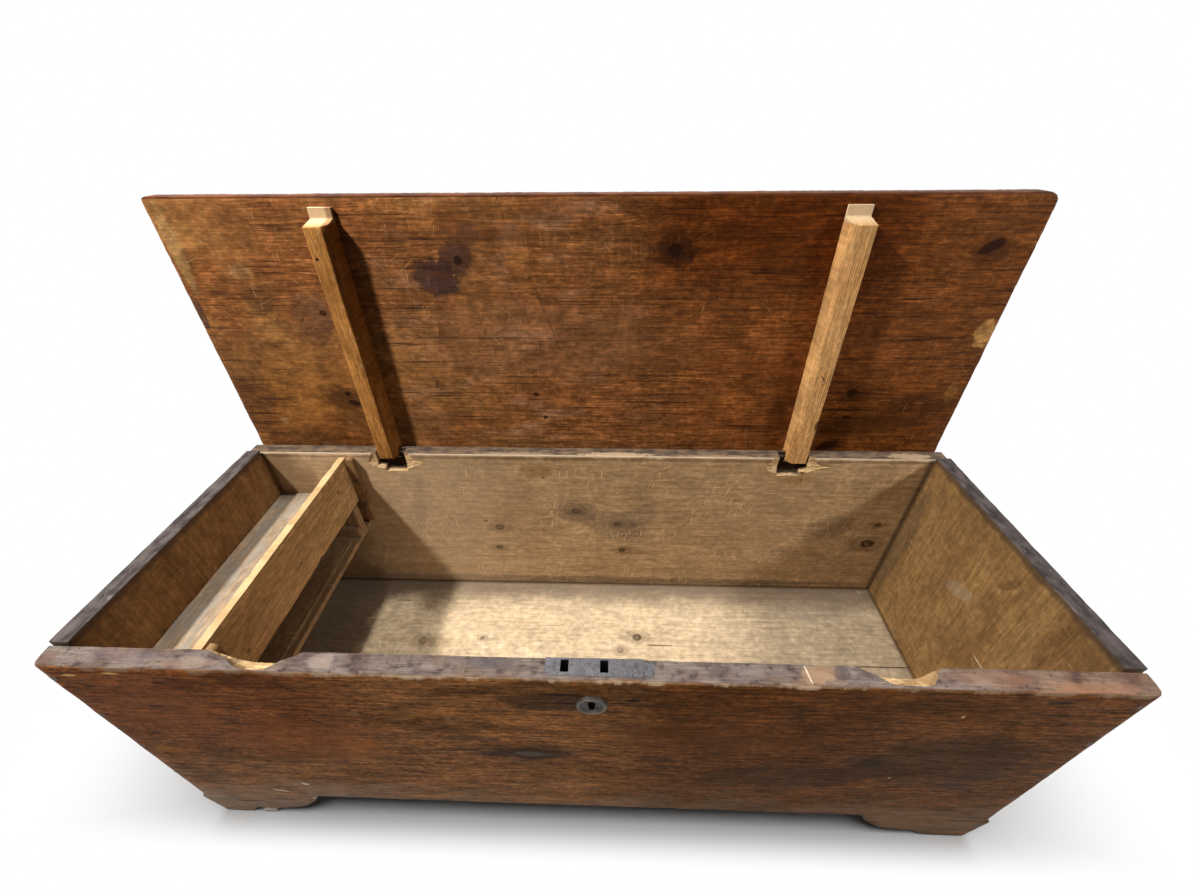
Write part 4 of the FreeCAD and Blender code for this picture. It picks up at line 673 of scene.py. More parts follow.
def batten_look(middle, chamfer_side, light, dark, grime):
    def look(root):
        at = own_frame(root, True)
        x, a, b = at.parts()
        colour, height, flat, rag, fibre = pine(
            a, x - middle, b, light, dark, (), ring=2.6, heart=(30.0, 24.0), seed=60 + middle * 0.01,
            wander=0.8, contrast=0.55)
        soil = blotches(flat, 60, 0.45, 0.75, 61.0, 3.0)
        colour = (soil * grime).mix(colour, tuple(c * 0.55 for c in dark))
        scuff = blotches(flat, 18, 0.6, 0.72, 62.0, 2.0)
        colour = (scuff * 0.35).mix(colour, (0.75, 0.55, 0.3))
        end = a.step(-351, -357)
        colour = (end * 0.8).mix(colour, (0.64, 0.48, 0.3))
        if chamfer_side > 0:
            # painted shade on the left batten's chamfer and inner side
            colour = colour.shade((0.58, 0.5, 0.42), (x - middle).step(6, 9))
        colour = marks(colour, flat, rag, [(-314, -9, 2.2, 2.2, 0, BLACK, 1.0)] if chamfer_side > 0 else
                       [(-66, 14, 9, 3, 0, BLACK, 0.8), (-148, 3, 10, 0.8, 40, SMOKE, 0.7),
                        (-140, 7, 7, 0.7, -50, SMOKE, 0.6)])
        return colour, fibre * 0.15 + 0.5, height, 0.0
    return look


def raw_look(root):
    """Freshly chopped pine: yellow, splintered, smudged with grey."""
    at = own_frame(root)
    x, y, z = at.parts()
    flat = joined_up(x, y + z)
    torn = blotches(flat, 12, 0.35, 0.65, 71.0, 3.0, 5.0)
    colour = torn.mix((0.62, 0.44, 0.235), (0.42, 0.26, 0.115)).level(y.step(300, 340) * 0.35 + 1)
    smudge = blotches(flat, 26, 0.56, 0.66, 72.0, 1.2, 4.0)
    colour = (smudge * 0.55).mix(colour, (0.2, 0.15, 0.12))
    nick = hairs(flat, 8, 5, 30, 0.35, 73.0, 0.12)
    colour = (nick * 0.5).mix(colour, (0.35, 0.17, 0.06))
    # painted shade: the wood is nearly black deep inside the notches
    colour = (y.step(350, 357) * 0.94).mix(colour, (0.02, 0.01, 0.006))
    return colour, 0.75, torn * 0.0012 - nick * 0.0005, 0.0


def till_look(along, seed, light, dark, grey=0.0):
    """Bare boards of the till; along says which coordinate the grain follows."""
    def look(root):
        at = own_frame(root)
        x, y, z = at.parts()
        if along == "y":
            order = (y, z, x)
        elif along == "floor":
            order = (y, x, z)
        elif along == "z":
            order = (z, x, y)
        places = [(60, 350, 4, 2.5, 0, SMOKE, 0.7), (300, 380, 4, 2, 0, SMOKE, 0.7), (180, 360, 4, 2, 0, SMOKE, 0.5),
                  (40, 372, 8, 1.2, 20, PALE, 0.5)] if along == "y" else []
        wood, rough, height, flat, rag = inside_wood(*order, seed, light, dark, (), places, 0.6, 0.35, 6.0)
        if grey:
            wash = blotches(flat, 50, 0.35, 0.62, seed + 8, 4.0, 4.0)
            wood = (wash * grey).mix(wood, (0.25, 0.24, 0.21))
        if along == "y":
            rim = (z + blotches(flat, 12, 0.3, 0.7, seed + 9) * 0.8).step(412.2, 413.2)
            worn = blotches(flat, 30, 0.4, 0.65, seed + 10, 3.0, 4.0)
            wood = (rim * 0.9).mix(wood, worn.mix((0.56, 0.39, 0.2), (0.4, 0.26, 0.12)))
        return wood, rough, height, 0.0
    return look


# ---------------------------------------------------------------- finishes of the metal

def plate_look(root):
    at = own_frame(root)
    rust = at.noise(9000, 4.0, 0.65)
    fine = at.noise(1500, 3.0, 0.6)
    colour = rust.ramp((0.32, (0.05, 0.05, 0.057)), (0.55, (0.108, 0.105, 0.115)), (0.72, (0.058, 0.048, 0.047)))
    colour = fine.step(0.5, 0.68).mix(colour, (0.045, 0.038, 0.038))
    return colour, fine.spread(0.4, 0.75), fine * 0.0001, 0.55


def iron_look(root):
    at = own_frame(root)
    rust = at.noise(3500, 4.0, 0.7)
    colour = rust.ramp((0.3, (0.035, 0.03, 0.028)), (0.6, (0.08, 0.05, 0.035)), (0.8, (0.13, 0.07, 0.04)))
    return colour, rust.spread(0.45, 0.9), rust * 0.0002, 0.4


def bronze_look(root):
    at = own_frame(root)
    x, y, z = at.parts()
    tarnish = at.noise(5000, 4.0, 0.6)
    colour = tarnish.ramp((0.3, (0.014, 0.011, 0.008)), (0.6, (0.03, 0.022, 0.015)), (0.8, (0.09, 0.065, 0.04)))
    rim = y.step(-2.6, -3.9)
    colour = (rim * 0.35).mix(colour, (0.2, 0.16, 0.11))
    return colour, tarnish.spread(0.35, 0.7), tarnish * 0.0001, 0.5


# ---------------------------------------------------------------- shaping

def arc(start, end, radius, turn, count=4):
    """Points from start up to, but not including, end along a short arc."""
    a, b = Vector(start), Vector(end)
    chord = b - a
    left = Vector((-chord.y, chord.x)).normalized()
    rise = math.sqrt(max(radius ** 2 - chord.length ** 2 / 4, 0))
    centre = (a + b) / 2 + left * (turn * rise)
    first = math.atan2(a.y - centre.y, a.x - centre.x)
    last = math.atan2(b.y - centre.y, b.x - centre.x)
    sweep = (last - first) % math.tau if turn > 0 else -((first - last) % math.tau)
    return [
        (centre.x + radius * math.cos(first + sweep * step / count),
         centre.y + radius * math.sin(first + sweep * step / count))
        for step in range(count)
    ]


def stepped(corners, step):
    """The outline with its long sides divided into short lengths."""
    points = []
    for index, corner in enumerate(corners):
        a, b = Vector(corner), Vector(corners[(index + 1) % len(corners)])
        count = max(1, round((b - a).length / step))
        points += [tuple(a.lerp(b, part / count)) for part in range(count)]
    return points


def laid(plane, point, height):
    """A drawn point in the chest's three coordinates."""
    a, b = point
    return {"XZ": (a, height, b), "YZ": (height, a, b), "XY": (a, b, height)}[plane]


def edit(piece):
    bpy.ops.object.select_all(action="DESELECT")
    piece.select_set(True)
    bpy.context.view_layer.objects.active = piece
    bpy.ops.object.mode_set(mode="EDIT")
    bpy.ops.mesh.select_all(action="SELECT")


def done():
    bpy.ops.object.mode_set(mode="OBJECT")


def slab(name, plane, corners, low, high, step=12.0):
    """A board sawn to an outline, from low to high across it, its faces divided for wear."""
    points = stepped(corners, step)
    bpy.ops.object.select_all(action="DESELECT")
    bpy.ops.mesh.primitive_circle_add(vertices=len(points), radius=1, fill_type="NGON")
    piece = bpy.context.object
    piece.name = piece.data.name = name
    for vertex, point in zip(piece.data.vertices, points):
        vertex.co = Vector(laid(plane, point, low)) * MM
    edit(piece)
    push = Vector(laid(plane, (0, 0), high - low)) * MM
    bpy.ops.mesh.extrude_region_move(TRANSFORM_OT_translate={"value": push})
    bpy.ops.mesh.select_all(action="SELECT")
    bpy.ops.mesh.normals_make_consistent(inside=False)
    done()
    return piece


def arrises(piece, width, segments=2, angle=35):
    """Round the piece's sharp edges; the rounded strips keep its second finish for a while."""
    edit(piece)
    bpy.ops.mesh.select_all(action="DESELECT")
    bpy.ops.mesh.select_mode(type="EDGE")
    bpy.ops.mesh.edges_select_sharp(sharpness=math.radians(angle))
    bpy.ops.mesh.bevel(offset=width * MM, segments=segments, profile=0.5, material=1,
                       clamp_overlap=False)
    bpy.ops.mesh.select_mode(type="VERT")
    done()


def arris_points(piece):
    """Gather the rounded strips' points in a vertex group and give the strips the main finish."""
    group = piece.vertex_groups.new(name="arris")
    strips = [face for face in piece.data.polygons if face.material_index == 1]
    group.add(sorted({point for face in strips for point in face.vertices}), 1.0, "ADD")
    for face in strips:
        face.material_index = 0


def eased(piece, radius, segments, wanted):
    """Round the edges whose two ends both pass a test on their place in millimetres."""
    for face in piece.data.polygons:
        face.select = False
    for edge in piece.data.edges:
        ends = [piece.data.vertices[number].co / MM for number in edge.vertices]
        edge.select = all(wanted(end) for end in ends)
    for vertex in piece.data.vertices:
        vertex.select = False
    bpy.context.view_layer.objects.active = piece
    bpy.context.scene.tool_settings.mesh_select_mode = (False, True, False)
    bpy.ops.object.mode_set(mode="EDIT")
    bpy.ops.mesh.bevel(offset=radius * MM, segments=segments, profile=0.5, material=1,
                       clamp_overlap=False)
    bpy.context.scene.tool_settings.mesh_select_mode = (True, False, False)
    done()


def sliced(piece, axis, step):
    """Cut the piece's faces across, every step along an axis."""
    edit(piece)
    place = [v.co[axis] for v in piece.data.vertices]
    low, high = min(place), max(place)
    count = max(1, round((high - low) / (step * MM)))
    normal = [0, 0, 0]
    normal[axis] = 1
    for number in range(1, count):
        point = [0, 0, 0]
        point[axis] = low + (high - low) * number / count
        bpy.ops.mesh.select_all(action="SELECT")
        bpy.ops.mesh.bisect(plane_co=point, plane_no=normal)
    bpy.ops.mesh.select_all(action="SELECT")
    bpy.ops.mesh.remove_doubles(threshold=0.12 * MM)
    done()


def modified(piece, kind, **settings):
    """Add a modifier with its settings and apply it."""
    bpy.ops.object.select_all(action="DESELECT")
    piece.select_set(True)
    bpy.context.view_layer.objects.active = piece
    made = piece.modifiers.new(kind.title(), kind)
    for name, value in settings.items():
        setattr(made, name, value)
    bpy.ops.object.modifier_apply(modifier=made.name)


def lumps(name, size, contrast=1.0, depth=2):
    texture = bpy.data.textures.new(name, "CLOUDS")
    texture.noise_scale, texture.contrast, texture.noise_depth = size * MM, contrast, depth
    return texture


EDGE_WEAR = lumps("edge_wear", 30, 1.6)
CHIPS = lumps("edge_chips", 7, 3.0)
WARP = lumps("warp", 160, 1.2)
CHISEL = lumps("chisel_cuts", 6, 2.0)


def weathered(piece, wear=1.2, sway=0.5, chips=0.5):
    """Wear the arrises unevenly and let the faces cup a little, always inwards."""
    if wear:
        modified(piece, "DISPLACE", texture=EDGE_WEAR, texture_coords="LOCAL", vertex_group="arris",
                 strength=wear * MM, mid_level=1.0)
    if chips:
        modified(piece, "DISPLACE", texture=CHIPS, texture_coords="LOCAL", vertex_group="arris",
                 strength=chips * MM, mid_level=1.0)
    if sway:
        modified(piece, "DISPLACE", texture=WARP, texture_coords="LOCAL",
                 strength=sway * MM, mid_level=1.0)


def cut(piece, tool):
    """Cut a tool out of the piece; the cut keeps the tool's finish."""
    modified(piece, "BOOLEAN", operation="DIFFERENCE", object=tool, solver="MANIFOLD",
             material_mode="TRANSFER")
    bpy.data.objects.remove(tool)


def placed(piece, matrix):
    """Move the mesh from the chest's millimetre drawing into the row frame."""
    piece.data.transform(matrix)
    piece.data.update()


def smooth(piece, angle=32):
    bpy.ops.object.select_all(action="DESELECT")
    piece.select_set(True)
    bpy.context.view_layer.objects.active = piece
    bpy.ops.object.shade_smooth_by_angle(angle=math.radians(angle))


def mounted(piece, node, body):
    smooth(piece)
    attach(piece, body)
    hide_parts(node)


def cutter(name, plane, corners, low, high, look=None, rough=0.0):
    tool = slab(name, plane, corners, low, high, 4.0 if rough else 400.0)
    if rough:
        modified(tool, "DISPLACE", texture=CHISEL, texture_coords="LOCAL",
                 strength=rough * MM, mid_level=0.5)
    if look:
        tool.data.materials.append(look)
    return tool


def rectangle(a0, a1, b0, b1):
    return [(a0, b0), (a1, b0), (a1, b1), (a0, b1)]


def lofted(name, sections, look):
    """A solid drawn over sections, each a loop of as many points of the chest's millimetres."""
    bpy.ops.object.select_all(action="DESELECT")
    count = len(sections[0])
    bpy.ops.mesh.primitive_circle_add(vertices=count, radius=1, fill_type="NOTHING")
    piece = bpy.context.object
    piece.name = piece.data.name = name
    for more in sections[1:]:
        edit(piece)
        bpy.ops.mesh.primitive_circle_add(vertices=count, radius=1, fill_type="NOTHING")
        done()
    for number, section in enumerate(sections):
        for index, point in enumerate(section):
            piece.data.vertices[number * count + index].co = Vector(point) * MM
    edit(piece)
    bpy.ops.mesh.bridge_edge_loops()
    bpy.ops.mesh.select_all(action="SELECT")
    bpy.ops.mesh.fill_holes(sides=0)
    bpy.ops.mesh.select_all(action="SELECT")
    bpy.ops.mesh.normals_make_consistent(inside=False)
    done()
    piece.data.materials.append(look)
    return piece


# ---------------------------------------------------------------- finishes as materials

LOOKS = {
    "front_pine": finish("front_pine", front_board_look, **{"Specular IOR Level": 0.01}),
    "back_pine": finish("back_pine", back_board_look, **{"Specular IOR Level": 0.1}),
    "left_end_pine": finish("left_end_pine", end_board_look(-1), **{"Specular IOR Level": 0.1}),
    "right_end_pine": finish("right_end_pine", end_board_look(1), **{"Specular IOR Level": 0.1}),
    "floor_pine": finish("floor_pine", floor_look, **{"Specular IOR Level": 0.15}),
    "lid_pine": finish("lid_pine", lid_look, **{"Specular IOR Level": 0.05}),
    "lid_outside_pine": finish("lid_outside_pine", lid_outside_look, **{"Specular IOR Level": 0.06}),
    "left_batten_pine": finish("left_batten_pine", batten_look(
        -333, 1, (0.66, 0.31, 0.085), (0.3, 0.115, 0.026), 0.6), **{"Specular IOR Level": 0.06}),
    "right_batten_pine": finish("right_batten_pine", batten_look(
        329, -1, (0.7, 0.4, 0.16), (0.4, 0.185, 0.055), 0.25), **{"Specular IOR Level": 0.1}),
    "raw_pine": finish("raw_pine", raw_look, **{"Specular IOR Level": 0.1}),
    "till_side_pine": finish("till_side_pine", till_look("y", 81.0, (0.76, 0.49, 0.23), (0.45, 0.26, 0.11)),
                             **{"Specular IOR Level": 0.2}),
    "till_shelf_pine": finish("till_shelf_pine", till_look("floor", 82.0, (0.44, 0.285, 0.15), (0.26, 0.155, 0.075)),
                              **{"Specular IOR Level": 0.2}),
    "tray_pine": finish("tray_pine", till_look("floor", 83.0, (0.4, 0.285, 0.18), (0.25, 0.175, 0.105), 0.65),
                        **{"Specular IOR Level": 0.2}),
    "cleat_pine": finish("cleat_pine", till_look("z", 84.0, (0.36, 0.21, 0.09), (0.2, 0.105, 0.04)),
                         **{"Specular IOR Level": 0.2}),
    "lock_iron": finish("lock_iron", plate_look),
    "nail_iron": finish("nail_iron", iron_look),
    "dull_bronze": finish("dull_bronze", bronze_look),
}
RAW_PINE = LOOKS["raw_pine"]


def board(name, node, body, look, plane, corners, low, high, step=12.0, wide=1.3,
          wear=1.2, sway=0.5, chips=0.5, tools=(), place=CHEST_PLACE, soft=()):
    """A sawn board: outlined, its arrises worn, its faces divided and warped, then cut."""
    piece = slab(name, plane, corners, low, high, step)
    piece.data.materials.append(LOOKS[look])
    piece.data.materials.append(RAW_PINE)
    for radius, wanted in soft:
        eased(piece, radius, 3, wanted)
    arrises(piece, wide)
    for axis in {"XZ": (0, 2), "YZ": (1, 2), "XY": (0, 1)}[plane]:
        sliced(piece, axis, step)
    arris_points(piece)
    weathered(piece, wear, sway, chips)
    for tool in tools:
        cut(piece, tool)
    placed(piece, place)
    mounted(piece, node, body)
    return piece


# ---------------------------------------------------------------- the chest's boards

def foot(side, chipped=False):
    """A foot's outline from its inner end to the outer corner of the board."""
    def at(reach, height):
        return ((560 - reach) * side, height)
    points = arc(at(173, 64), at(160, 45), 30, side) + arc(at(160, 45), at(122, 20), 60, side)
    points += [at(122, 20), at(104, 17.5)]
    if chipped:
        points += [at(98, 15.5), at(90, 3.2), at(67, 0.8), at(76, 15.5), at(67, 16.5), at(53, 0.5)]
    else:
        points += [at(88, 17), at(80, 9), at(66, 0.6)]
    points += [at(40, 0), at(12, 1.0), at(7, 22), at(1, 50), at(0, 58)]
    return points


def scooped(name, sections):
    """A hollow for a batten's end: sections of (x, front at the top, floor at the back)."""
    loops = []
    for x, front, floor in sections:
        depth = 422 - floor
        loops.append([
            (x, front, 424), (x, front + 1.2, 422 - depth * 0.45), (x, front + 3.0, 422 - depth * 0.85),
            (x, (front + 24) / 2, floor + 1.0), (x, 26, floor), (x, 26, 424)])
    tool = lofted(name, loops, RAW_PINE)
    edit(tool)
    bpy.ops.mesh.subdivide(number_cuts=2, smoothness=0.3)
    done()
    modified(tool, "DISPLACE", texture=CHISEL, texture_coords="LOCAL", strength=0.9 * MM, mid_level=0.5)
    return tool


def front_tools():
    left = scooped("left_scoop", [
        (-386, 20.5, 419), (-376, 18, 412), (-364, 14, 403), (-352, 6.5, 398.5), (-344, 3.6, 397), (-334, 2.6, 396.6),
        (-326, 2.4, 397), (-316, 3.0, 399), (-309, 8.4, 404.5), (-304, 12.5, 407.5), (-297, 15, 412), (-288, 19, 419)])
    right = scooped("right_scoop", [
        (279, 20.5, 419), (288, 16, 414), (296, 12.5, 409), (302, 8.0, 404), (309, 4.4, 400.5), (318, 3.5, 398.6),
        (330, 3.4, 397.2), (341, 3.8, 397.2), (347, 5.0, 398.0), (352, 11, 404), (356, 16.5, 411), (363, 20.5, 419)])
    edge = cutter("lock_edge_seat", "XY", [
        (-26, 4.7), (65.5, 4.7), (65.5, 25), (-33, 25), (-33, 8.2)], 420.4, 425)
    apron = cutter("lock_apron_seat", "XZ", rectangle(-33, 65.5, 352, 425), 20.9, 25)
    case = cutter("lock_case_seat", "XZ", rectangle(-25.75, 58.25, 356, 421), 7.7, 22)
    tab = cutter("tab_seat", "XY", arc((65.9, 10.35), (77.2, 10.35), 5.651, 1, 8) + [
        (77.2, 10.35), (77.2, 19.7), (65.9, 19.7)], 420.4, 425)
    key = cutter("key_seat", "XZ", arc((18.8, 378), (9.2, 378), 4.801, 1, 8) + [
        (9.2, 378), (11.2, 364.5), (16.8, 364.5)], -2, 9)
    chips = [lofted("arris_chip_%d" % number, [
        [(x - w, -1, 423), (x - w, -1, 422.6), (x - w, -0.6, 423)],
        [(x, -1, 423), (x, -1, 422 - d), (x, d * 1.3, 423)],
        [(x + w, -1, 423), (x + w, -1, 422.6), (x + w, -0.6, 423)]], RAW_PINE)
        for number, (x, w, d) in enumerate([(228, 5, 2.2), (272, 7, 2.6), (150, 6, 1.8), (-212, 4, 1.6),
                                            (455, 6, 1.8), (101, 8, 2.0)])]
    return [left, right, edge, apron, case, tab, key] + chips


front = board(
    "front_board_worn", "front_board", "carcass", "front_pine", "XZ",
    [(-560, 422)] + foot(-1, True)[::-1] + [(-382, 72), (382, 72), (387, 64), (560, 64), (560, 422)],
    0, 22.5, 10.0, 1.2, 0.5, 0.4, 0.15, front_tools(), CHEST_PLACE, [
        (9.0, lambda end: abs(end.x) > 559.9 and end.y < 0.1 and end.z > 59),
        (3.0, lambda end: end.z > 421.9 and (end.y < 0.1 or abs(end.x) > 550.9 and end.y < 9.1))])
board("pieced_foot_worn", "pieced_front_foot", "carcass", "front_pine", "XZ",
      foot(1)[:-1] + [(560, 55), (560, 63.7), (387, 63.7)], 0, 22.5, 8.0, 1.0, 0.5, 0.3, 0.15)


def notched(name, middle, outer):
    """A notch chopped right through the back board, with splintered hollows beside it."""
    def at(reach, height):
        return (middle + reach * outer, height)
    hollow = cutter(name + "_hollow", "XZ", [
        at(17.95, 426), at(17.95, 397), at(6.95, 394), at(6.95, 386), at(-29.75, 386), at(-29.75, 426)],
        342, 364, RAW_PINE, 0.7)
    way = cutter(name + "_way", "XZ", rectangle(middle - 16.05, middle + 16.05, 398.1, 426), 342, 372,
                 RAW_PINE, 0.3)
    return [hollow, way]


def gouge(name, spans):
    """A splintered shallow hollow in the back board's inner face: (x, low, high, depth)."""
    loops = []
    for x, low, high, depth in spans:
        loops.append([(x, 345, low), (x, 346.5 + depth * 0.5, low + (high - low) * 0.12),
                      (x, 346.5 + depth, (low + high) / 2), (x, 346.5 + depth * 0.7, high - 1.0),
                      (x, 345, high)])
    return lofted(name, loops, RAW_PINE)


back_tools = notched("left_notch", -333, -1) + notched("right_notch", 329, 1) + [
    gouge("left_gouge_outer", [
        (-366, 400, 403, 0.3), (-360, 395, 416, 1.6), (-355, 392, 424, 3.0), (-340, 389, 424, 4.0)]),
    gouge("left_gouge_inner", [
        (-306, 387, 424, 4.5), (-297, 391, 424, 3.5), (-291, 395, 415, 2.2), (-284, 399, 411, 2.0),
        (-270, 403, 407, 0.3)]),
    gouge("right_gouge_inner", [
        (281, 400, 406, 0.3), (286, 394, 414, 2.0), (292, 391, 424, 3.6), (303, 387, 424, 4.5)]),
    gouge("right_gouge_outer", [
        (344, 390, 424, 4.5), (352, 394, 424, 3.6), (357, 397, 416, 2.4), (366, 401, 411, 2.2),
        (384, 405, 408, 0.3)]),
]
back = board(
    "back_board_worn", "back_board", "carcass", "back_pine", "XZ",
    [(-560, 422)] + foot(-1)[::-1] + [(-382, 72), (382, 72)] + foot(1) + [(560, 422)],
    346.5, 369, 10.0, 1.4, 0.6, 0.4, 0.3, back_tools)

for side, name in ((-1, "left_end_board"), (1, "right_end_board")):
    outline = arc((102.5, 0), (266.5, 0), 83.94, -1, 20) + [
        (266.5, 0), (346.5, 0), (346.5, 427), (22.5, 427), (22.5, 0)]
    low = -560 if side < 0 else 537
    board(name + "_worn", name, "carcass", name.replace("_board", "_pine"), "YZ",
          outline, low, low + 23, 10.0, 1.6, 0.6, 0.4, 0.4)

board("front_bottom_worn", "front_bottom_board", "carcass", "floor_pine", "XY",
      rectangle(-537, 537, 22.5, 193), 75, 97, 24.0, 0.8, 0.5, 0.4, 0.3)
board("back_bottom_worn", "back_bottom_board", "carcass", "floor_pine", "XY",
      rectangle(-537, 537, 193.6, 346.5), 75, 97, 24.0, 0.8, 0.5, 0.4, 0.3)

# ---------------------------------------------------------------- the till

board("till_side_worn", "till_side", "carcass", "till_side_pine", "YZ",
      [(22.5, 324), (90, 324.6), (150, 324), (205, 325.5), (214, 329), (220, 326), (280, 324), (346.5, 324.4),
       (346.5, 415), (22.5, 415)], -412, -400, 9.0, 0.8, 0.8, 0.4, 0.6)
for name, corners, low, high, look, plane in (
    ("till_tray_bottom", rectangle(-537, -412, 22.5, 346.5), 324, 334, "tray_pine", "XY"),
    ("till_pocket_bottom", rectangle(-537, -400, 22.5, 346.5), 258, 268, "till_shelf_pine", "XY"),
    ("till_pocket_back_wall", rectangle(-537, -400, 268, 324), 316, 330, "till_shelf_pine", "XZ"),
    ("till_pocket_front_wall", rectangle(-537, -400, 268, 324), 39, 53, "till_shelf_pine", "XZ"),
    ("back_pocket_runner", rectangle(-537, -400, 268, 286), 306, 316, "till_shelf_pine", "XZ"),
    ("front_pocket_runner", rectangle(-537, -400, 268, 286), 53, 63, "till_shelf_pine", "XZ"),
):
    board(name + "_worn", name, "carcass", look, plane, corners, low, high,
          12.0, 0.6, 0.6, 0.3, 0.4)
for name, low in (("back_till_cleat", 336.5), ("front_till_cleat", 22.5)):
    board(name + "_worn", name, "carcass", "cleat_pine", "XZ",
          [(-399, 278), (-385, 278)] + arc((-385, 410), (-399, 410), 7.001, 1, 8) + [(-399, 410)],
          low, low + 10, 7.0, 0.8, 0.7, 0.3, 0.5)

# ---------------------------------------------------------------- the lid and its battens

lid_outline = (arc((-560, -378.4), (-554, -384.4), 6, 1, 4) + [(-554, -384.4)]
               + arc((546, -384.4), (560, -370.4), 14, 1, 6) + [(560, -370.4), (560, 17.5), (-560, 17.5)])
lid = board("lid_board_worn", "lid_board", "lid", "lid_pine", "XY",
            lid_outline, 14.1, 36.6, 10.0, 2.0, 0.5, 0.4, 0.4, (), LID_PLACE)
lid.data.materials.append(LOOKS["lid_outside_pine"])
for face in lid.data.polygons:
    if face.normal.y > 0.75:
        face.material_index = 2

for name, middle, inner in (("left_batten", -333, 1), ("right_batten", 329, -1)):
    piece = slab(name + "_worn", "YZ", [
        (-371.8, 14.1), (-371.8, 9.1), (-358.8, 9.1), (-352.8, -12.9), (7, -12.9), (7, 9.1), (19.5, 9.1),
        (19.5, 14.1)], middle - 15.25, middle + 15.25, 10.0)
    edit(piece)
    bpy.ops.mesh.bisect(
        plane_co=Vector((middle + (15.25 - 8) * inner, 0, -12.9)) * MM, plane_no=(inner, 0, -1),
        clear_outer=True, use_fill=True)
    done()
    piece.data.materials.append(LOOKS[name + "_pine"])
    piece.data.materials.append(RAW_PINE)
    arrises(piece, 0.7, 1, 28)
    sliced(piece, 1, 9.0)
    arris_points(piece)
    weathered(piece, 0.3, 0.2, 0.2)
    placed(piece, LID_PLACE)
    mounted(piece, name, "lid")

# ---------------------------------------------------------------- the frame's own metal

for name in ("lock_plate", "lock_side_tab"):
    nodes[name].data.materials[0] = LOOKS["lock_iron"]
for name in ("front_nails", "back_nails", "bottom_board_nails", "pieced_foot_nails", "till_cleat_nails",
             "lock_case", "lock_bolt", "bolt_guide_pins", "lock_drill_pin", "lock_screws",
             "left_hinge_pin", "right_hinge_pin", "left_batten_nails", "right_batten_nails"):
    nodes[name].data.materials[0] = LOOKS["nail_iron"]
for name in ("escutcheon", "escutcheon_pins"):
    nodes[name].data.materials[0] = LOOKS["dull_bronze"]


# ---------------------------------------------------------------- floor, light and camera

def emitter(name, kind, place, target, energy, size, colour=(1, 1, 1)):
    data = bpy.data.lights.new(name, kind)
    data.energy, data.color = energy, colour
    if kind == "AREA":
        data.shape, data.size = "DISK", size
    else:
        data.shadow_soft_size = size
    lamp = bpy.data.objects.new(name, data)
    scene.collection.objects.link(lamp)
    lamp.location = place
    lamp.rotation_euler = (Vector(target) - Vector(place)).to_track_quat("-Z", "Y").to_euler()
    return lamp


bpy.ops.object.select_all(action="DESELECT")
bpy.ops.mesh.primitive_plane_add(size=30, location=(0, 0, -0.0005))
ground = bpy.context.object
ground.name = "studio_floor"
paper = bpy.data.materials.new("studio_paper")
paper.use_nodes = True
tree = paper.node_tree
tree.nodes.clear()
here = Wire(tree, tree.nodes.new("ShaderNodeTexCoord").outputs["Object"])
away = here.times(1, 1.35, 0).vector("LENGTH", output=1).step(0.71, 1.0)
away = away.math("MAXIMUM", here.parts()[1].step(-0.2, -0.25))
seen = backdrop_rays(tree)
matte = here.node("ShaderNodeBsdfDiffuse", {}, {"Color": seen.mix((0.2, 0.2, 0.2), (0.9, 0.9, 0.9))})
glow = here.node("ShaderNodeEmission", {}, {"Color": (1, 1, 1, 1), "Strength": 1.0})
sheet = here.node("ShaderNodeMixShader", {}, {0: away * seen, 1: matte, 2: glow})
here.node("ShaderNodeOutputMaterial", {}, {"Surface": sheet})
ground.data.materials.append(paper)
ground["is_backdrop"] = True

key = emitter("key_lamp", "AREA", (-1.0, -0.35, 1.85), (-0.05, 0.05, 0.3), 42, 0.12, (1, 0.97, 0.93))
top_lamp = emitter("top_lamp", "SPOT", (-0.4, 0.34, 2.2), (-0.3, 0.1, 0.1), 92, 0.05, (1, 0.98, 0.95))
top_lamp.data.spot_size, top_lamp.data.spot_blend = math.radians(66), 1.0
side_lamp = emitter("side_lamp", "SPOT", (1.45, -0.55, 1.55), (0.44, 0.12, 0.36), 80, 0.1)
side_lamp.data.spot_size, side_lamp.data.spot_blend = math.radians(45), 1.0
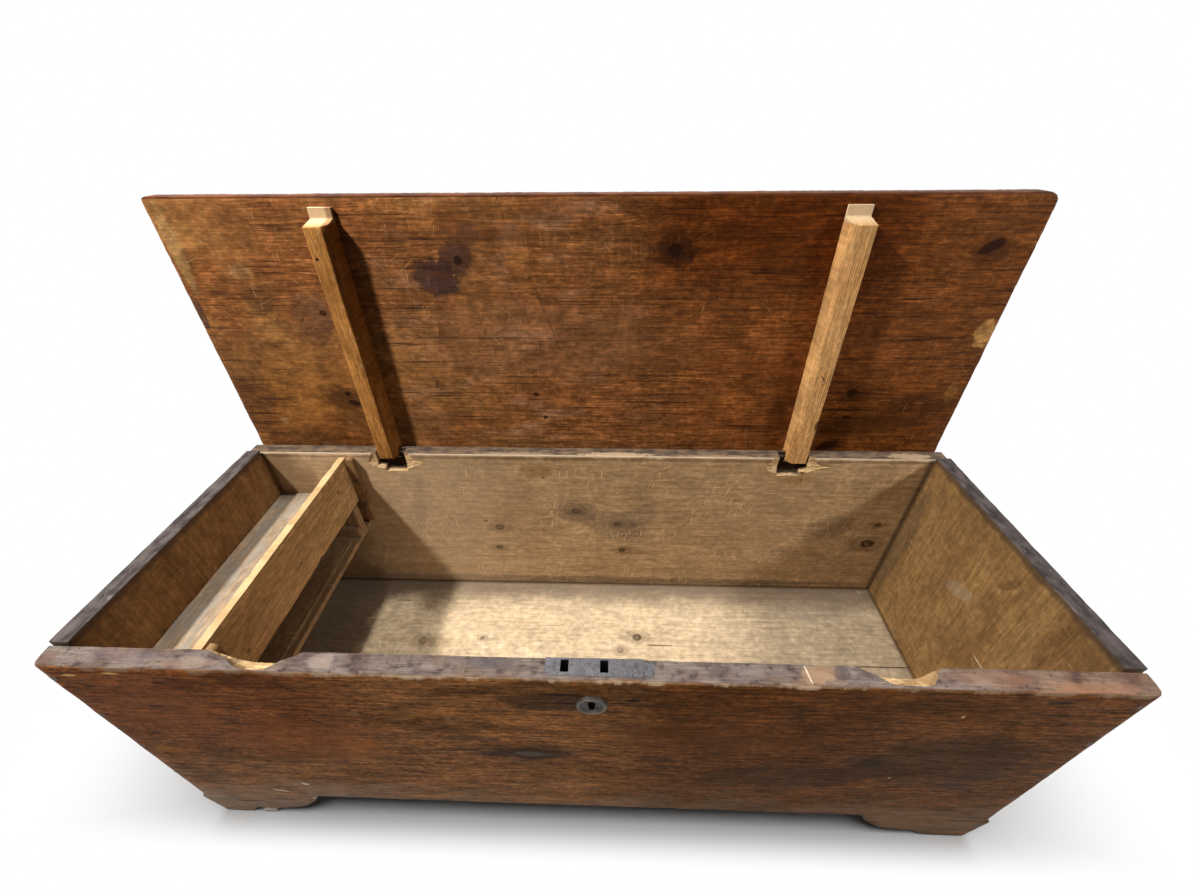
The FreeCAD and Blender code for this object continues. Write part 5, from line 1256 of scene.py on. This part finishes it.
front_lamp = emitter("front_lamp", "AREA", (-0.3, -2.2, 0.7), (0, -0.2, 0.2), 16, 0.8, (1, 0.96, 0.9))
softbox = emitter("floor_softbox", "AREA", (0, 0.3, 2.7), (0, 0.0, 0), 124, 2.6)

chest_group = bpy.data.collections.new("lit_chest")
floor_group = bpy.data.collections.new("lit_floor")
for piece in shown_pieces():
    chest_group.objects.link(piece)
floor_group.objects.link(ground)
for lamp in (key, top_lamp, side_lamp):
    lamp.light_linking.receiver_collection = chest_group
softbox.light_linking.receiver_collection = floor_group
front_group = bpy.data.collections.new("lit_front")
for name in ("front_board_worn", "pieced_foot_worn", "escutcheon", "escutcheon_pins", "front_nails"):
    front_group.objects.link(bpy.data.objects[name])
front_lamp.light_linking.receiver_collection = front_group

world = bpy.data.worlds.new("studio")
scene.world = world
world.use_nodes = True
tree = world.node_tree
tree.nodes.clear()
path = backdrop_rays(tree)
soft = path.node("ShaderNodeBackground", {}, {0: (1, 1, 1, 1), 1: 0.034})
white = path.node("ShaderNodeBackground", {}, {0: (1, 1, 1, 1), 1: 1.0})
seen = path.node("ShaderNodeMixShader", {}, {0: path, 1: soft, 2: white})
path.node("ShaderNodeOutputWorld", {}, {0: seen})

camera_data = bpy.data.cameras.new("camera")
camera = bpy.data.objects.new("camera", camera_data)
scene.collection.objects.link(camera)
scene.camera = camera
camera_data.sensor_width = 36
camera_data.lens = 13.979
camera_data.shift_x = 0.00165
camera_data.shift_y = -0.02523
camera_data.clip_start, camera_data.clip_end = 0.02, 60
yaw, pitch, roll = -0.0372, 0.6015, -0.0121
ahead = Vector((math.sin(yaw) * math.cos(pitch), math.cos(yaw) * math.cos(pitch), -math.sin(pitch)))
right = Vector((math.cos(yaw), -math.sin(yaw), 0))
above = right.cross(ahead)
rolled_right = right * math.cos(roll) + above * math.sin(roll)
rolled_up = above * math.cos(roll) - right * math.sin(roll)
turn = Matrix((rolled_right, rolled_up, -ahead)).transposed().to_4x4()
camera.matrix_world = Matrix.Translation((0.0301, -0.43065, 0.8911)) @ turn

scene.view_settings.view_transform = "Standard"
